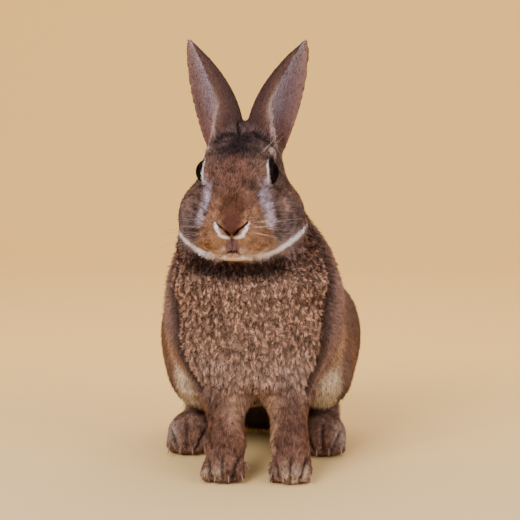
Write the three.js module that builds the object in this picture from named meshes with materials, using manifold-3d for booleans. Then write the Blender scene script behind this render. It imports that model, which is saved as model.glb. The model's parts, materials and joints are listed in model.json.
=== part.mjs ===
// A life-size rabbit that sits up on straight forelegs, alert, with its hind feet flat beside them.
// Millimetres, +Z up. The rabbit looks along -Y, so its left side is +X.
// The soft body is one smooth form, blended from named masses, then parted by thin cuts.
import * as THREE from "three";
import { mergeVertices } from "three/addons/utils/BufferGeometryUtils.js";
import Module from "manifold-3d";

const wasm = await Module();
wasm.setup();

const at = (x, y, z) => new THREE.Vector3(x, y, z);

// ---- Driving dimensions -------------------------------------------------------------------

const earTipHeight = 334; // floor to the tips of the ears
const eyeRadius = 10.2;
const eyeHeight = 235;
const eyeDepth = 25; // centre of an eye, behind the toes of the forefeet
const eyeOut = 21.2; // and out from the head's middle plane
const headTurn = THREE.MathUtils.degToRad(-4); // the head looks a little to its right
const headOffset = -7.6; // and is carried a little to its right
const headPivot = 48;
const foreLegX = { left: 30.5, right: -17 }; // the left forefoot is set wider
const elbowX = { left: 28.5, right: -21 };
const thighOut = { left: 53, right: 50 }; // and the left haunch bulges more
const kneeOut = { left: 57, right: 49 };
const hindFootOut = 54.5;
const toeGap = 8.2; // from the middle of one toe to the next
const gap = 0.3; // width of each parting cut
const sides = { left: 1, right: -1 };
const sideNames = Object.keys(sides);

// Grid cells of the facets: small on the face and feet, large on the broad trunk.
const cells = {
  muzzle: at(5, 5.6, 5),
  head: at(8.6, 9, 8.6),
  trunk: at(16, 16.5, 16.5),
  foreLimb: at(6.2, 8.6, 9.2),
  hindFoot: at(5.8, 12, 7.6),
  tail: at(9.5, 9.5, 9.5),
};

// ---- Masses of the body -------------------------------------------------------------------

// An ellipsoid, leaned by pitch about X, then by lean about Y, then by turn about Z.
function ball(centre, radii, { pitch = 0, lean = 0, turn = 0 } = {}) {
  const rad = THREE.MathUtils.degToRad;
  const euler = new THREE.Euler(rad(pitch), rad(lean), rad(turn), "ZYX");
  const placed = new THREE.Matrix4().compose(
    centre,
    new THREE.Quaternion().setFromEuler(euler),
    at(1, 1, 1),
  );
  return { kind: "ball", placed, radii };
}

// A round limb from a to b, with a radius at each end.
const limb = (a, b, radiusA, radiusB) => ({ kind: "limb", a, b, radiusA, radiusB });

// One mass, joined to (or, if carve is true, cut from) what comes before it over a soft width.
const mass = (shape, blend, carve = false) => ({ shape, blend, carve });

// The same mass on both sides.
const pair = (make, blend, carve = false) =>
  Object.values(sides).map((side) => mass(make(side), blend, carve));

const trunkMasses = [
  mass(ball(at(0, 112, 108), at(68, 62, 74), { pitch: -28 }), 1), // ribs
  mass(ball(at(0, 156, 88), at(72, 64, 68), { pitch: -30 }), 30), // loin and belly
  mass(ball(at(0, 164, 112), at(50, 46, 44), { pitch: -30 }), 26), // arch of the back
  mass(ball(at(0, 192, 64), at(57, 46, 60)), 26), // rump
  mass(ball(at(-1, 56, 116), at(54.5, 46, 64)), 26), // chest
  mass(limb(at(1, 98, 156), at(-2, 76, 196), 50, 39), 30), // neck
  mass(ball(at(-3, 86, 170), at(57, 40, 36)), 20), // cape of the neck
  mass(ball(at(-2, 46, 152), at(60, 38, 26)), 18), // ruff under the chin
  ...pair((s) => ball(at(s * 46, 86, 122), at(24, 36, 44), { pitch: 12 }), 24), // shoulders
];

function hindLegMasses(side) {
  const s = sides[side];
  const thigh = at(s * thighOut[side], 150, 83);
  return [
    mass(ball(thigh, at(32, 62, 50), { pitch: -14, lean: s * 8 }), 14), // thigh
    mass(ball(at(s * kneeOut[side], 106, 64), at(21, 26, 28)), 16), // knee
    mass(limb(at(s * 46, 172, 38), at(s * 50, 190, 18), 20, 15), 12), // hock
  ];
}

const tailMasses = [
  mass(limb(at(0, 214, 34), at(0, 238, 30), 17, 15), 1), // dock
  mass(ball(at(0, 241, 36), at(17.5, 13, 24), { pitch: -10 }), 8), // scut
];

// Feet: where each stands, how far its toes reach, and how they fan out.
const feet = {
  fore: {
    x: (side) => foreLegX[side] + sides[side] * 2,
    front: 5,
    lag: 3.2, // how far each toe out from the middle falls back
    height: 7.5,
    toe: at(5.8, 12, 8.2),
    fan: 9,
    claw: { length: 9.5, radius: 1.9 },
    dewclaw: { out: 14, back: 18, up: 12, length: 8, radius: 1.7 },
  },
  hind: {
    x: (side) => sides[side] * hindFootOut,
    front: 99,
    lag: 2.4,
    height: 8.5,
    toe: at(6, 16, 9.5),
    fan: 5,
    claw: { length: 11, radius: 2.1 },
  },
};
const toeSpread = [-1.5, -0.5, 0.5, 1.5];
const toeCentre = (foot, side, t) =>
  at(foot.x(side) + t * toeGap, foot.front + Math.abs(t) * foot.lag, foot.height);
const toeMasses = (foot, side) =>
  toeSpread.map((t) => mass(ball(toeCentre(foot, side, t), foot.toe, { turn: t * foot.fan }), 3));

function foreLimbMasses(side) {
  const s = sides[side];
  const x = foreLegX[side];
  const elbow = at(elbowX[side], 42, 62);
  const wrist = at(x, 22, 28);
  const footX = feet.fore.x(side);
  return [
    mass(limb(at(s * 33, 56, 104), elbow, 25, 18), 14), // upper arm
    mass(limb(elbow, wrist, 17.5, 15), 8), // forearm
    mass(limb(wrist, at(footX, 20, 18), 15, 15), 6), // wrist
    mass(ball(at(footX, 13, 10), at(16.5, 19, 12)), 6), // forefoot
    ...toeMasses(feet.fore, side),
  ];
}

function hindFootMasses(side) {
  const x = feet.hind.x(side);
  return [
    mass(limb(at(x - sides[side] * 2, 182, 12.6), at(x, 114, 15), 14, 16), 8), // metatarsus
    mass(ball(at(x, 108, 14.5), at(17.5, 24, 15.5)), 8), // front of the foot
    ...toeMasses(feet.hind, side),
  ];
}

const headMasses = [
  mass(ball(at(0, 50, 230), at(30, 35, 31)), 14), // skull
  mass(ball(at(0, 70, 236), at(29, 24, 28)), 12), // back of the head
  mass(limb(at(0, 30, 224), at(0, 10, 200), 26, 18.5), 12), // bridge of the nose
  ...pair((s) => ball(at(s * 24, 46, 200), at(25.5, 30, 27), { turn: -s * 8 }), 14), // cheeks
  ...pair((s) => ball(at(s * 23, 40, 184), at(25, 27, 18), { turn: -s * 12 }), 10), // jaw
  ...pair((s) => ball(at(s * 11.5, 9, 189), at(15, 14, 13.5), { turn: -s * 20 }), 7), // lip pads
  mass(ball(at(0, 15, 178), at(17, 17, 10)), 6), // chin
  mass(ball(at(0, -1, 198), at(11.5, 9, 8.5), { pitch: 24 }), 6), // nose
  ...pair((s) => ball(at(s * 20, 30, 246), at(9, 15, 7), { pitch: 24, turn: -s * 10 }), 9), // brows
  ...pair((s) => ball(at(s * 13, 62, 256), at(12, 12, 13)), 9), // feet of the ears
];

const headCarvings = [
  ...pair((s) => ball(at(s * 39, eyeDepth - 2, eyeHeight), at(10, 12, 11)), 8, true), // eye hollows
  mass(ball(at(0, -11, 183), at(3.2, 10, 9)), 5, true), // cleft of the lip
];

// ---- The blended form ---------------------------------------------------------------------

const headFrame = new THREE.Matrix4()
  .makeTranslation(headOffset, headPivot, 0)
  .multiply(new THREE.Matrix4().makeRotationZ(headTurn))
  .multiply(new THREE.Matrix4().makeTranslation(0, -headPivot, 0));

// Readies a list of masses for measuring, in a frame of their own if one is given.
function ready(masses, frame = new THREE.Matrix4()) {
  return masses.map(({ shape, blend, carve }) => {
    if (shape.kind === "ball") {
      const inverse = frame.clone().multiply(shape.placed).invert();
      return { blend, carve, distance: (p) => ballDistance(p, inverse, shape.radii) };
    }
    const a = shape.a.clone().applyMatrix4(frame);
    const b = shape.b.clone().applyMatrix4(frame);
    return { blend, carve, distance: (p) => limbDistance(p, a, b, shape.radiusA, shape.radiusB) };
  });
}

const local = new THREE.Vector3();
const scaled = new THREE.Vector3();

function ballDistance(p, inverse, radii) {
  local.copy(p).applyMatrix4(inverse);
  const near = scaled.copy(local).divide(radii).length();
  const steep = scaled.divide(radii).length();
  return steep < 1e-9 ? -Math.min(radii.x, radii.y, radii.z) : (near * (near - 1)) / steep;
}

function limbDistance(p, a, b, radiusA, radiusB) {
  const along = scaled.subVectors(b, a);
  const t = THREE.MathUtils.clamp(local.subVectors(p, a).dot(along) / along.lengthSq(), 0, 1);
  const away = local.subVectors(p, a).addScaledVector(along, -t).length();
  return away - THREE.MathUtils.lerp(radiusA, radiusB, t);
}

function softMin(a, b, width) {
  const h = Math.max(width - Math.abs(a - b), 0) / width;
  return Math.min(a, b) - (h * h * width) / 4;
}

// The signed distance, near enough, from a point to the blended surface of the masses.
const blended = (masses) => (p) =>
  masses.reduce((d, m) => {
    const own = m.distance(p);
    return m.carve ? -softMin(-d, own, m.blend) : softMin(d, own, m.blend);
  }, Infinity);

const bodyForm = blended([
  ...ready(trunkMasses),
  ...sideNames.flatMap((side) => ready([...hindLegMasses(side), ...foreLimbMasses(side)])),
  ...ready([...headMasses, ...headCarvings], headFrame),
]);

// ---- From form to facets ------------------------------------------------------------------

const boxDistance = (p, box) =>
  Math.max(
    box.min.x - p.x, p.x - box.max.x,
    box.min.y - p.y, p.y - box.max.y,
    box.min.z - p.z, p.z - box.max.z,
  );

const flatness = 0.02;

// Facets of a form inside a box: a point for each grid cell that the surface passes through,
// then a face across each grid edge that it crosses, evened out and laid on the surface.
function facets(form, box, cell, rounds = 4) {
  const field = (p) => Math.max(form(p), boxDistance(p, box));
  const low = box.min.clone().addScaledVector(cell, -1.5);
  const size = box.max.clone().sub(low).divide(cell).ceil().addScalar(2);
  const [nx, ny, nz] = size.toArray();
  const index = (i, j, k) => i + nx * (j + ny * k);
  const value = new Float64Array(nx * ny * nz);
  const point = new THREE.Vector3();
  for (let k = 0; k < nz; k++)
    for (let j = 0; j < ny; j++)
      for (let i = 0; i < nx; i++)
        value[index(i, j, k)] = field(point.set(i, j, k).multiply(cell).add(low));

  const corners = [...Array(8).keys()].map((c) => [c & 1, (c >> 1) & 1, c >> 2]);
  const edges = [];
  for (let c = 0; c < 8; c++)
    for (const bit of [1, 2, 4]) if (!(c & bit)) edges.push([c, c | bit]);

  const cellPoint = new Map();
  const points = [];
  for (let k = 0; k < nz - 1; k++)
    for (let j = 0; j < ny - 1; j++)
      for (let i = 0; i < nx - 1; i++) {
        const sum = new THREE.Vector3();
        let crossings = 0;
        for (const [c, d] of edges) {
          const [cx, cy, cz] = corners[c];
          const [dx, dy, dz] = corners[d];
          const v = value[index(i + cx, j + cy, k + cz)];
          const w = value[index(i + dx, j + dy, k + dz)];
          if (v < 0 === w < 0) continue;
          const t = v / (v - w);
          sum.add(at(cx + (dx - cx) * t, cy + (dy - cy) * t, cz + (dz - cz) * t));
          crossings++;
        }
        if (!crossings) continue;
        cellPoint.set(index(i, j, k), points.length);
        points.push(sum.divideScalar(crossings).add(at(i, j, k)).multiply(cell).add(low));
      }

  const quads = [];
  const axes = [[1, 0, 0], [0, 1, 0], [0, 0, 1]];
  for (let k = 1; k < nz - 1; k++)
    for (let j = 1; j < ny - 1; j++)
      for (let i = 1; i < nx - 1; i++)
        axes.forEach(([ax, ay, az], axis) => {
          const inside = value[index(i, j, k)] < 0;
          if (inside === value[index(i + ax, j + ay, k + az)] < 0) return;
          const [u, v] = [axes[(axis + 1) % 3], axes[(axis + 2) % 3]];
          const pointOf = (a, b) =>
            cellPoint.get(
              index(i - a * u[0] - b * v[0], j - a * u[1] - b * v[1], k - a * u[2] - b * v[2]),
            );
          const ring = [pointOf(0, 0), pointOf(1, 0), pointOf(1, 1), pointOf(0, 1)];
          quads.push(inside ? ring : ring.reverse());
        });

  for (let round = 0; round < rounds; round++) settle(points, quads, field);
  for (const p of points) if (Math.abs(p.z - box.min.z) < flatness) p.z = box.min.z;
  return solidFrom(points, quads.flatMap((q) => splitQuad(points, q)));
}

// Moves each point to the middle of its neighbours, then back onto the surface.
function settle(points, quads, field) {
  const sums = points.map(() => new THREE.Vector3());
  const counts = new Uint16Array(points.length);
  for (const q of quads)
    q.forEach((from, n) => {
      sums[from].add(points[q[(n + 1) % 4]]);
      counts[from]++;
    });
  const reach = 0.4;
  const probe = new THREE.Vector3();
  points.forEach((p, n) => {
    p.lerp(sums[n].divideScalar(counts[n]), 0.6);
    for (let turn = 0; turn < 3; turn++) {
      const slope = at(0, 0, 0);
      for (const axis of ["x", "y", "z"]) {
        probe.copy(p)[axis] += reach;
        const ahead = field(probe);
        probe.copy(p)[axis] -= reach;
        slope[axis] = (ahead - field(probe)) / (2 * reach);
      }
      p.addScaledVector(slope, -field(p) / Math.max(slope.lengthSq(), 0.2));
    }
  });
}

function splitQuad(points, [a, b, c, d]) {
  return points[a].distanceTo(points[c]) < points[b].distanceTo(points[d])
    ? [[a, b, c], [a, c, d]]
    : [[a, b, d], [b, c, d]];
}

// ---- Solids -------------------------------------------------------------------------------

function solidFrom(points, triangles) {
  return new wasm.Manifold(
    new wasm.Mesh({
      numProp: 3,
      vertProperties: new Float32Array(points.flatMap((p) => p.toArray())),
      triVerts: new Uint32Array(triangles.flat()),
    }),
  );
}

// A three.js shape as a solid, in its place.
function solidOf(geometry, matrix = new THREE.Matrix4()) {
  const bare = geometry.clone().applyMatrix4(matrix);
  bare.deleteAttribute("normal");
  bare.deleteAttribute("uv");
  const merged = mergeVertices(bare, 1e-4);
  return new wasm.Manifold(
    new wasm.Mesh({
      numProp: 3,
      vertProperties: merged.attributes.position.array,
      triVerts: new Uint32Array(merged.index.array),
    }),
  );
}

const reachOut = 600;

// All that lies on the side of a plane that its normal points to.
function beyond(point, normal) {
  const turn = new THREE.Quaternion().setFromUnitVectors(at(0, 0, 1), normal.clone().normalize());
  const middle = point.clone().addScaledVector(normal.clone().normalize(), reachOut / 2);
  const matrix = new THREE.Matrix4().compose(middle, turn, at(1, 1, 1));
  return solidOf(new THREE.BoxGeometry(reachOut, reachOut, reachOut), matrix);
}

// Parts a solid in two with a thin plane cut: [what the normal points to, the rest].
function part(solid, point, normal) {
  const step = normal.clone().normalize().multiplyScalar(gap / 2);
  const ahead = solid.intersect(beyond(point.clone().add(step), normal));
  const behind = solid.intersect(beyond(point.clone().sub(step), normal.clone().negate()));
  return [ahead, behind];
}

// Parts a solid with the surface of an ellipsoid: [what is inside, the rest].
function scoop(solid, centre, radii, pitch) {
  const angle = THREE.MathUtils.degToRad(pitch);
  const turn = new THREE.Quaternion().setFromAxisAngle(at(1, 0, 0), angle);
  const made = (grow) =>
    solidOf(
      new THREE.SphereGeometry(1, 12, 7).rotateX(Math.PI / 2),
      new THREE.Matrix4().compose(centre, turn, radii.clone().addScalar(grow)),
    );
  return [solid.intersect(made(0)), solid.subtract(made(gap))];
}

const largest = (solid) => solid.decompose().sort((a, b) => b.volume() - a.volume())[0];

// The points and triangles of a solid.
function meshOf(solid) {
  const { numProp, vertProperties, triVerts, numVert } = solid.getMesh();
  const points = [];
  for (let n = 0; n < numVert; n++)
    points.push(new THREE.Vector3().fromArray(vertProperties, n * numProp));
  const triangles = [];
  for (let n = 0; n < triVerts.length; n += 3) triangles.push([...triVerts.subarray(n, n + 3)]);
  return { points, triangles };
}

// A solid with every point moved out along its normal.
function grown(solid, by) {
  const { points, triangles } = meshOf(solid);
  const normals = points.map(() => at(0, 0, 0));
  for (const [a, b, c] of triangles) {
    const ab = points[b].clone().sub(points[a]);
    const face = ab.cross(points[c].clone().sub(points[a]));
    for (const n of [a, b, c]) normals[n].add(face);
  }
  const moved = points.map((p, n) => p.clone().addScaledVector(normals[n].normalize(), by));
  return solidFrom(moved, triangles);
}

// A solid with room cut in it for its neighbours.
const fitted = (solid, neighbours) =>
  largest(neighbours.reduce((rest, n) => rest.subtract(grown(n, gap * 1.2)), solid));

// ---- Ears ---------------------------------------------------------------------------------

const earBase = at(17.6, 64, 244);
const earRise = earTipHeight - earBase.z;
const earOut = 29; // how far out the tip stands from the base
const earBack = 17; // and how far back
const earRows = 10;
const earColumns = 7;
const earWall = 3.4; // with the short fur on both faces
const earWidest = 18.6; // half the ear's width at its widest place, a third of the way up
const widestAt = 0.36;

const earHalfWidth = (t) =>
  t > widestAt
    ? earWidest * (1 - ((t - widestAt) / (1 - widestAt)) ** 2) ** 0.9
    : earWidest - 6.2 * (1 - t / widestAt) ** 2;

// The ear is a gutter, open outwards and forwards: these are the ends of its wall, as angles
// round the ear from its outer side (0) by way of the front (90), the inner side and the back.
const frontEdge = (t) => THREE.MathUtils.lerp(14, 96, Math.min(1, t / 0.45) ** 0.6);
const outerEdge = (t) => THREE.MathUtils.lerp(338, 346, t);

function earPoint(t, share, depth) {
  const angle = THREE.MathUtils.degToRad(THREE.MathUtils.lerp(frontEdge(t), outerEdge(t), share));
  const halfWidth = Math.max(earHalfWidth(t), 1.1);
  const halfDepth = halfWidth * (0.92 - 0.4 * t);
  return at(
    earBase.x + earOut * t ** 1.65 + (halfWidth + depth) * Math.cos(angle),
    earBase.y + earBack * t - (halfDepth + depth) * Math.sin(angle),
    earBase.z + earRise * t,
  );
}

function earSolid(side) {
  const points = [];
  const rows = [];
  for (let i = 0; i <= earRows; i++) {
    const t = i / earRows;
    const ring = [];
    for (const face of [1, -1])
      for (let j = 0; j <= earColumns; j++) {
        const share = face > 0 ? j / earColumns : 1 - j / earColumns;
        const rim = 0.3 + 0.7 * (1 - Math.abs(2 * share - 1) ** 6);
        const half = Math.min((earWall / 2) * rim * (1 - 0.4 * t), earHalfWidth(t) * 0.4 + 0.3);
        ring.push(points.push(earPoint(t, share, face * half)) - 1);
      }
    rows.push(ring);
  }
  const triangles = [];
  const around = rows[0].length;
  for (let i = 0; i < earRows; i++)
    for (let j = 0; j < around; j++) {
      const [a, b] = [rows[i][j], rows[i][(j + 1) % around]];
      const [c, d] = [rows[i + 1][(j + 1) % around], rows[i + 1][j]];
      triangles.push([a, c, b], [a, d, c]);
    }
  for (const [ring, top] of [[rows[0], false], [rows[earRows], true]])
    for (let j = 0; j < earColumns; j++) {
      const [a, b, c, d] = [ring[j], ring[j + 1], ring[around - 2 - j], ring[around - 1 - j]];
      triangles.push(...(top ? [[a, c, b], [a, d, c]] : [[a, b, c], [a, c, d]]));
    }
  const s = sides[side];
  const matrix = headFrame.clone().multiply(new THREE.Matrix4().makeScale(s, 1, 1));
  const placed = points.map((p) => p.clone().applyMatrix4(matrix));
  return solidFrom(placed, s > 0 ? triangles : triangles.map(([a, b, c]) => [a, c, b]));
}

// ---- Claws --------------------------------------------------------------------------------

const clawSides = 5;

// A claw that leaves the toe at root, along aim, and curves down to a point.
function clawSolid(root, aim, { length, radius }) {
  const across = at(0, 0, 1).cross(aim).normalize();
  const over = aim.clone().cross(across);
  const points = [];
  for (const t of [0, 0.6])
    for (let n = 0; n < clawSides; n++) {
      const angle = (n / clawSides) * 2 * Math.PI;
      const thick = radius * (1 - 0.45 * t);
      points.push(
        root.clone()
          .addScaledVector(aim, length * t)
          .addScaledVector(over, thick * Math.sin(angle) - length * 0.22 * t * t)
          .addScaledVector(across, thick * 0.75 * Math.cos(angle)),
      );
    }
  const end = root.clone().addScaledVector(aim, length).addScaledVector(over, -length * 0.3);
  const tip = points.push(end) - 1;
  const triangles = [];
  for (let n = 0; n < clawSides; n++) {
    const next = (n + 1) % clawSides;
    triangles.push([n, clawSides + next, next], [n, clawSides + n, clawSides + next]);
    triangles.push([clawSides + n, tip, clawSides + next]);
    if (n > 1) triangles.push([0, n - 1, n]);
  }
  const solid = solidFrom(points, triangles);
  return solid.volume() > 0 ? solid : solidFrom(points, triangles.map(([a, b, c]) => [a, c, b]));
}

// The four claws of a foot, from the first toe on its outer side to the last.
function clawsOf(foot, side) {
  return toeSpread.map((t) => {
    const turn = THREE.MathUtils.degToRad(t * foot.fan);
    const aim = at(Math.sin(turn), -Math.cos(turn), -0.1).normalize();
    const root = toeCentre(foot, side, t).addScaledVector(aim, foot.toe.y - 4.5);
    return clawSolid(root, aim, foot.claw);
  });
}

// The small first claw, on the inner side of a forefoot.
function dewclaw(side) {
  const s = sides[side];
  const { out, back, up, ...size } = feet.fore.dewclaw;
  return clawSolid(at(feet.fore.x(side) - s * out, back, up), at(-s, -0.8, -0.4).normalize(), size);
}

// ---- Build --------------------------------------------------------------------------------

const material = (colour, roughness) =>
  new THREE.MeshStandardMaterial({ color: colour, roughness, metalness: 0 });
const agouti = material(0x7a5c44, 0.9);
const plush = material(0x93704f, 0.95);
const paleFur = material(0xc8ab8c, 0.9);
const darkEye = material(0x0c0a0a, 0.08);
const horn = material(0x5b4a40, 0.5);

const rabbit = new THREE.Group();

function add(name, solid, finish) {
  const { points, triangles } = meshOf(solid);
  const geometry = new THREE.BufferGeometry().setFromPoints(points).setIndex(triangles.flat());
  const mesh = new THREE.Mesh(geometry, finish);
  mesh.name = name;
  rabbit.add(mesh);
}

const box = (x0, y0, z0, x1, y1, z1) => new THREE.Box3(at(x0, y0, z0), at(x1, y1, z1));
const cut = (point, normal) => ({ point, normal });
const cuts = {
  jaw: cut(at(0, 62, 200), at(0, -0.62, 1)), // under the jaw and up behind the ears
  muzzle: cut(at(0, 13.6, 190), at(0, -1, -0.34)),
  collar: cut(at(0, 80, 158), at(0, -0.35, 1)),
  elbow: cut(at(0, 15, 71), at(0, 0.5, 1)),
  between: cut(at(6.5, 0, 0), at(1, 0, 0)), // between the forelegs
  wrist: cut(at(0, 22, 25), at(0, 0.12, 1)),
};
const parted = (solid, { point, normal }) => part(solid, point, normal).map(largest);

// Eyes and ears, in the head's own frame.
const eyes = Object.fromEntries(
  sideNames.map((side) => {
    const middle = at(sides[side] * eyeOut, eyeDepth, eyeHeight);
    const place = headFrame.clone().multiply(new THREE.Matrix4().setPosition(middle));
    return [side, solidOf(new THREE.IcosahedronGeometry(eyeRadius, 2), place)];
  }),
);
const ears = Object.fromEntries(sideNames.map((side) => [side, earSolid(side)]));

// Head and muzzle.
const headBox = box(-80, -5, 150, 70, 110, 290);
const muzzleBox = box(-60, -20, 150, 50, 25, 240);
const headWhole = parted(facets(bodyForm, headBox, cells.head), cuts.jaw)[0];
const muzzleWhole = parted(facets(bodyForm, muzzleBox, cells.muzzle), cuts.jaw)[0];
const head = parted(headWhole, cuts.muzzle)[1];
add("head", fitted(head, [...Object.values(ears), ...Object.values(eyes)]), agouti);
add("muzzle", parted(muzzleWhole, cuts.muzzle)[0], agouti);
for (const side of sideNames) {
  add(`ear_${side}`, ears[side], agouti);
  add(`eye_${side}`, eyes[side], darkEye);
}

// Feet with their claws, and the forelegs above them.
const hindFeet = {};
const limbs = facets(bodyForm, box(-70, -20, 0, 80, 84, 90), cells.foreLimb);
const limbPair = parted(part(limbs, cuts.elbow.point, cuts.elbow.normal)[1], cuts.between);
sideNames.forEach((side, n) => {
  const [foreleg, forefoot] = parted(limbPair[n], cuts.wrist);
  const x = feet.hind.x(side);
  const hindBox = box(x - 40, 70, 0, x + 40, 220, 50);
  hindFeet[side] = facets(blended(ready(hindFootMasses(side))), hindBox, cells.hindFoot);
  add(`foreleg_${side}`, foreleg, agouti);
  for (const [name, whole] of [["fore", forefoot], ["hind", hindFeet[side]]]) {
    add(`${name}foot_${side}`, whole, agouti);
    clawsOf(feet[name], side).forEach((claw, m) =>
      add(`claw_${name}_${side}_${m + 1}`, fitted(claw, [whole]), horn),
    );
  }
  add(`dewclaw_${side}`, fitted(dewclaw(side), [forefoot]), horn);
});

// The body, from the neck back to the tail.
const tail = facets(blended(ready(tailMasses)), box(-40, 190, 0.5, 40, 270, 80), cells.tail);
const bodyBox = box(-110, -20, 0.8, 110, 270, 250);
const bodyWhole = parted(facets(bodyForm, bodyBox, cells.trunk), cuts.elbow)[0];
const body = parted(bodyWhole, cuts.jaw)[1];
const [neck, belowNeck] = parted(body, cuts.collar);
let trunk = fitted(belowNeck, [...Object.values(hindFeet), tail]);
for (const side of sideNames) {
  const thighCentre = at(sides[side] * (thighOut[side] + 10), 146, 78);
  const [thigh, rest] = scoop(trunk, thighCentre, at(30, 58, 52), -14);
  add(`thigh_${side}`, largest(thigh), agouti);
  trunk = largest(rest);
}
add("neck", neck, agouti);
add("trunk", trunk, plush);
add("tail", tail, paleFur);

// The origin is on the floor, under the middle of the whole animal.
const whole = new THREE.Box3().setFromObject(rabbit);
const middle = whole.getCenter(at(0, 0, 0));
rabbit.position.set(-middle.x, -middle.y, 0);

export default rabbit;
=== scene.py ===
# %% [markdown]
# # A sitting rabbit, dressed over its solids
# A rabbit of a plush-coated breed sits upright with its ears raised. Its solids give the size and the
# stance. This file lays one smooth skin inside them, sculpts the face, paints the markings and grows
# the coat as thousands of small solid tufts. Lengths are in millimetres where points are worked on as
# arrays, and in metres in every mesh and material.

# %% Load the frame
import json
import math

import bmesh
import bpy
import numpy as np
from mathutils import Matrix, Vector
from mathutils.bvhtree import BVHTree

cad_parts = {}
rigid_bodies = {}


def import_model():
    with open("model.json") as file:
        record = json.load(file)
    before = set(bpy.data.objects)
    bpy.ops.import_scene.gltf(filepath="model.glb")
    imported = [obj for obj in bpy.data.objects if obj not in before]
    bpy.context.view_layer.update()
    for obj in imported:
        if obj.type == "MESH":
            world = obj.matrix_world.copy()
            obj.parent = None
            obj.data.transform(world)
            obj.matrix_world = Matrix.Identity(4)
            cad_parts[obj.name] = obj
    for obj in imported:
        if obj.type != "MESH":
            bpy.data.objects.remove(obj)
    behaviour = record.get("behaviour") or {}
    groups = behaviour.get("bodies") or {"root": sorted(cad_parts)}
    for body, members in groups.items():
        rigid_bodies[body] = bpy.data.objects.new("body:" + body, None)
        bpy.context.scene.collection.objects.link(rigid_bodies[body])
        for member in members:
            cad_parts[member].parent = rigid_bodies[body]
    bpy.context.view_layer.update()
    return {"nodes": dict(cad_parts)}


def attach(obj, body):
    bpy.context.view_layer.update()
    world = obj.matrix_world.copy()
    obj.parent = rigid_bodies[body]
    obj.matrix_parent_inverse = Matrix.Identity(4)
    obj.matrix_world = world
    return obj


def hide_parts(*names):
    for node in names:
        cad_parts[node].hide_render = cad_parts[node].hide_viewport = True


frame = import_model()
MM = 0.001

# %% [markdown]
# ## Camera
# A portrait lens about 1.4 m from the animal, a little above its head and a few degrees to its left, so
# that the face keeps its true proportions.

# %% Camera
IMAGE_PIXELS = 520
FOCAL_PIXELS = 1894
SENSOR = 36.0
CAMERA_PLACE = (0.0936, -1.5193, 0.352)
CAMERA_DOWN = 7.35
CAMERA_TURN = 3.5

camera_data = bpy.data.cameras.new("portrait_camera")
camera_data.sensor_width = SENSOR
camera_data.lens = FOCAL_PIXELS / IMAGE_PIXELS * SENSOR
camera = bpy.data.objects.new("portrait_camera", camera_data)
camera.location = CAMERA_PLACE
camera.rotation_euler = (math.radians(90 - CAMERA_DOWN), 0, math.radians(CAMERA_TURN))
bpy.context.scene.collection.objects.link(camera)
bpy.context.scene.camera = camera
print(f"camera: {camera_data.lens:.1f} mm lens")

# %% [markdown]
# ## Colours
# Paint is mixed here from the familiar 0-255 values, because a material works with linear light.


# %% Colours
def paint(red, green, blue):
    """The linear colour of a 0-255 screen colour, as an array."""
    screen = np.array((red, green, blue), float) / 255
    return np.where(screen <= 0.04045, screen / 12.92, ((screen + 0.055) / 1.055) ** 2.4)


def opaque(colour):
    return (*[float(part) for part in colour], 1.0)


print(f"colours: middle grey is {paint(128, 128, 128)[0]:.3f} in linear light")

# %% [markdown]
# ## Small helpers for materials
# A node tree reads best when each node is made and wired in one line. Three short chains come back in
# most materials here: noise on the object's own coordinates, a value that noise unsettles a little, and
# a ramp that turns a value into the shader's colour.


# %% Node helpers
def add_node(tree, kind, **settings):
    node = tree.nodes.new(kind)
    for key, value in settings.items():
        setattr(node, key, value)
    return node


def join(tree, start, end):
    tree.links.new(start, end)


def new_material(name, roughness):
    """A material whose Principled shader already has its roughness, with its tree and shader."""
    material = bpy.data.materials.new(name)
    material.use_nodes = True
    tree = material.node_tree
    shader = tree.nodes["Principled BSDF"]
    shader.inputs["Roughness"].default_value = roughness
    return material, tree, shader


def object_noise(tree, scale, detail=2.0):
    """Noise from 0 to 1 on the object's own coordinates."""
    place = add_node(tree, "ShaderNodeTexCoord")
    noise = add_node(tree, "ShaderNodeTexNoise")
    noise.inputs["Scale"].default_value = scale
    noise.inputs["Detail"].default_value = detail
    join(tree, place.outputs["Object"], noise.inputs["Vector"])
    return noise.outputs["Fac"]


def unsettled(tree, value, noise, amount):
    """The value with this much of the noise added to it."""
    total = add_node(tree, "ShaderNodeMath", operation="MULTIPLY_ADD")
    total.inputs[1].default_value = amount
    join(tree, noise, total.inputs[0])
    join(tree, value, total.inputs[2])
    return total.outputs[0]


def colour_by(tree, shader, value, *stops):
    """Gives the shader the colour of a ramp, read at the value; stops are (position, colour) pairs."""
    ramp = add_node(tree, "ShaderNodeValToRGB")
    elements = ramp.color_ramp.elements
    for index, (position, colour) in enumerate(stops):
        element = elements[index] if index < 2 else elements.new(position)
        element.position = position
        element.color = opaque(colour)
    join(tree, value, ramp.inputs["Fac"])
    join(tree, ramp.outputs["Color"], shader.inputs["Base Color"])


# %% [markdown]
# ## Small helpers for meshes
# A mesh of many thousand points is read and written all at once, as arrays, because a loop over single
# points is slow. The closed tubes, such as claws, share one pattern of faces.


# %% Reading and writing meshes
def new_object(name, mesh):
    thing = bpy.data.objects.new(name, mesh)
    bpy.context.scene.collection.objects.link(thing)
    return thing


def read(items, key, kind=np.float32, width=1):
    values = np.empty(len(items) * width, kind)
    items.foreach_get(key, values)
    return values.reshape(-1, width) if width > 1 else values


def points_of(mesh):
    """Vertex places in millimetres."""
    return read(mesh.vertices, "co", width=3).astype(float) / MM


def put_points(mesh, points):
    mesh.vertices.foreach_set("co", (points * MM).astype(np.float32).ravel())
    mesh.update()


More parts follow.
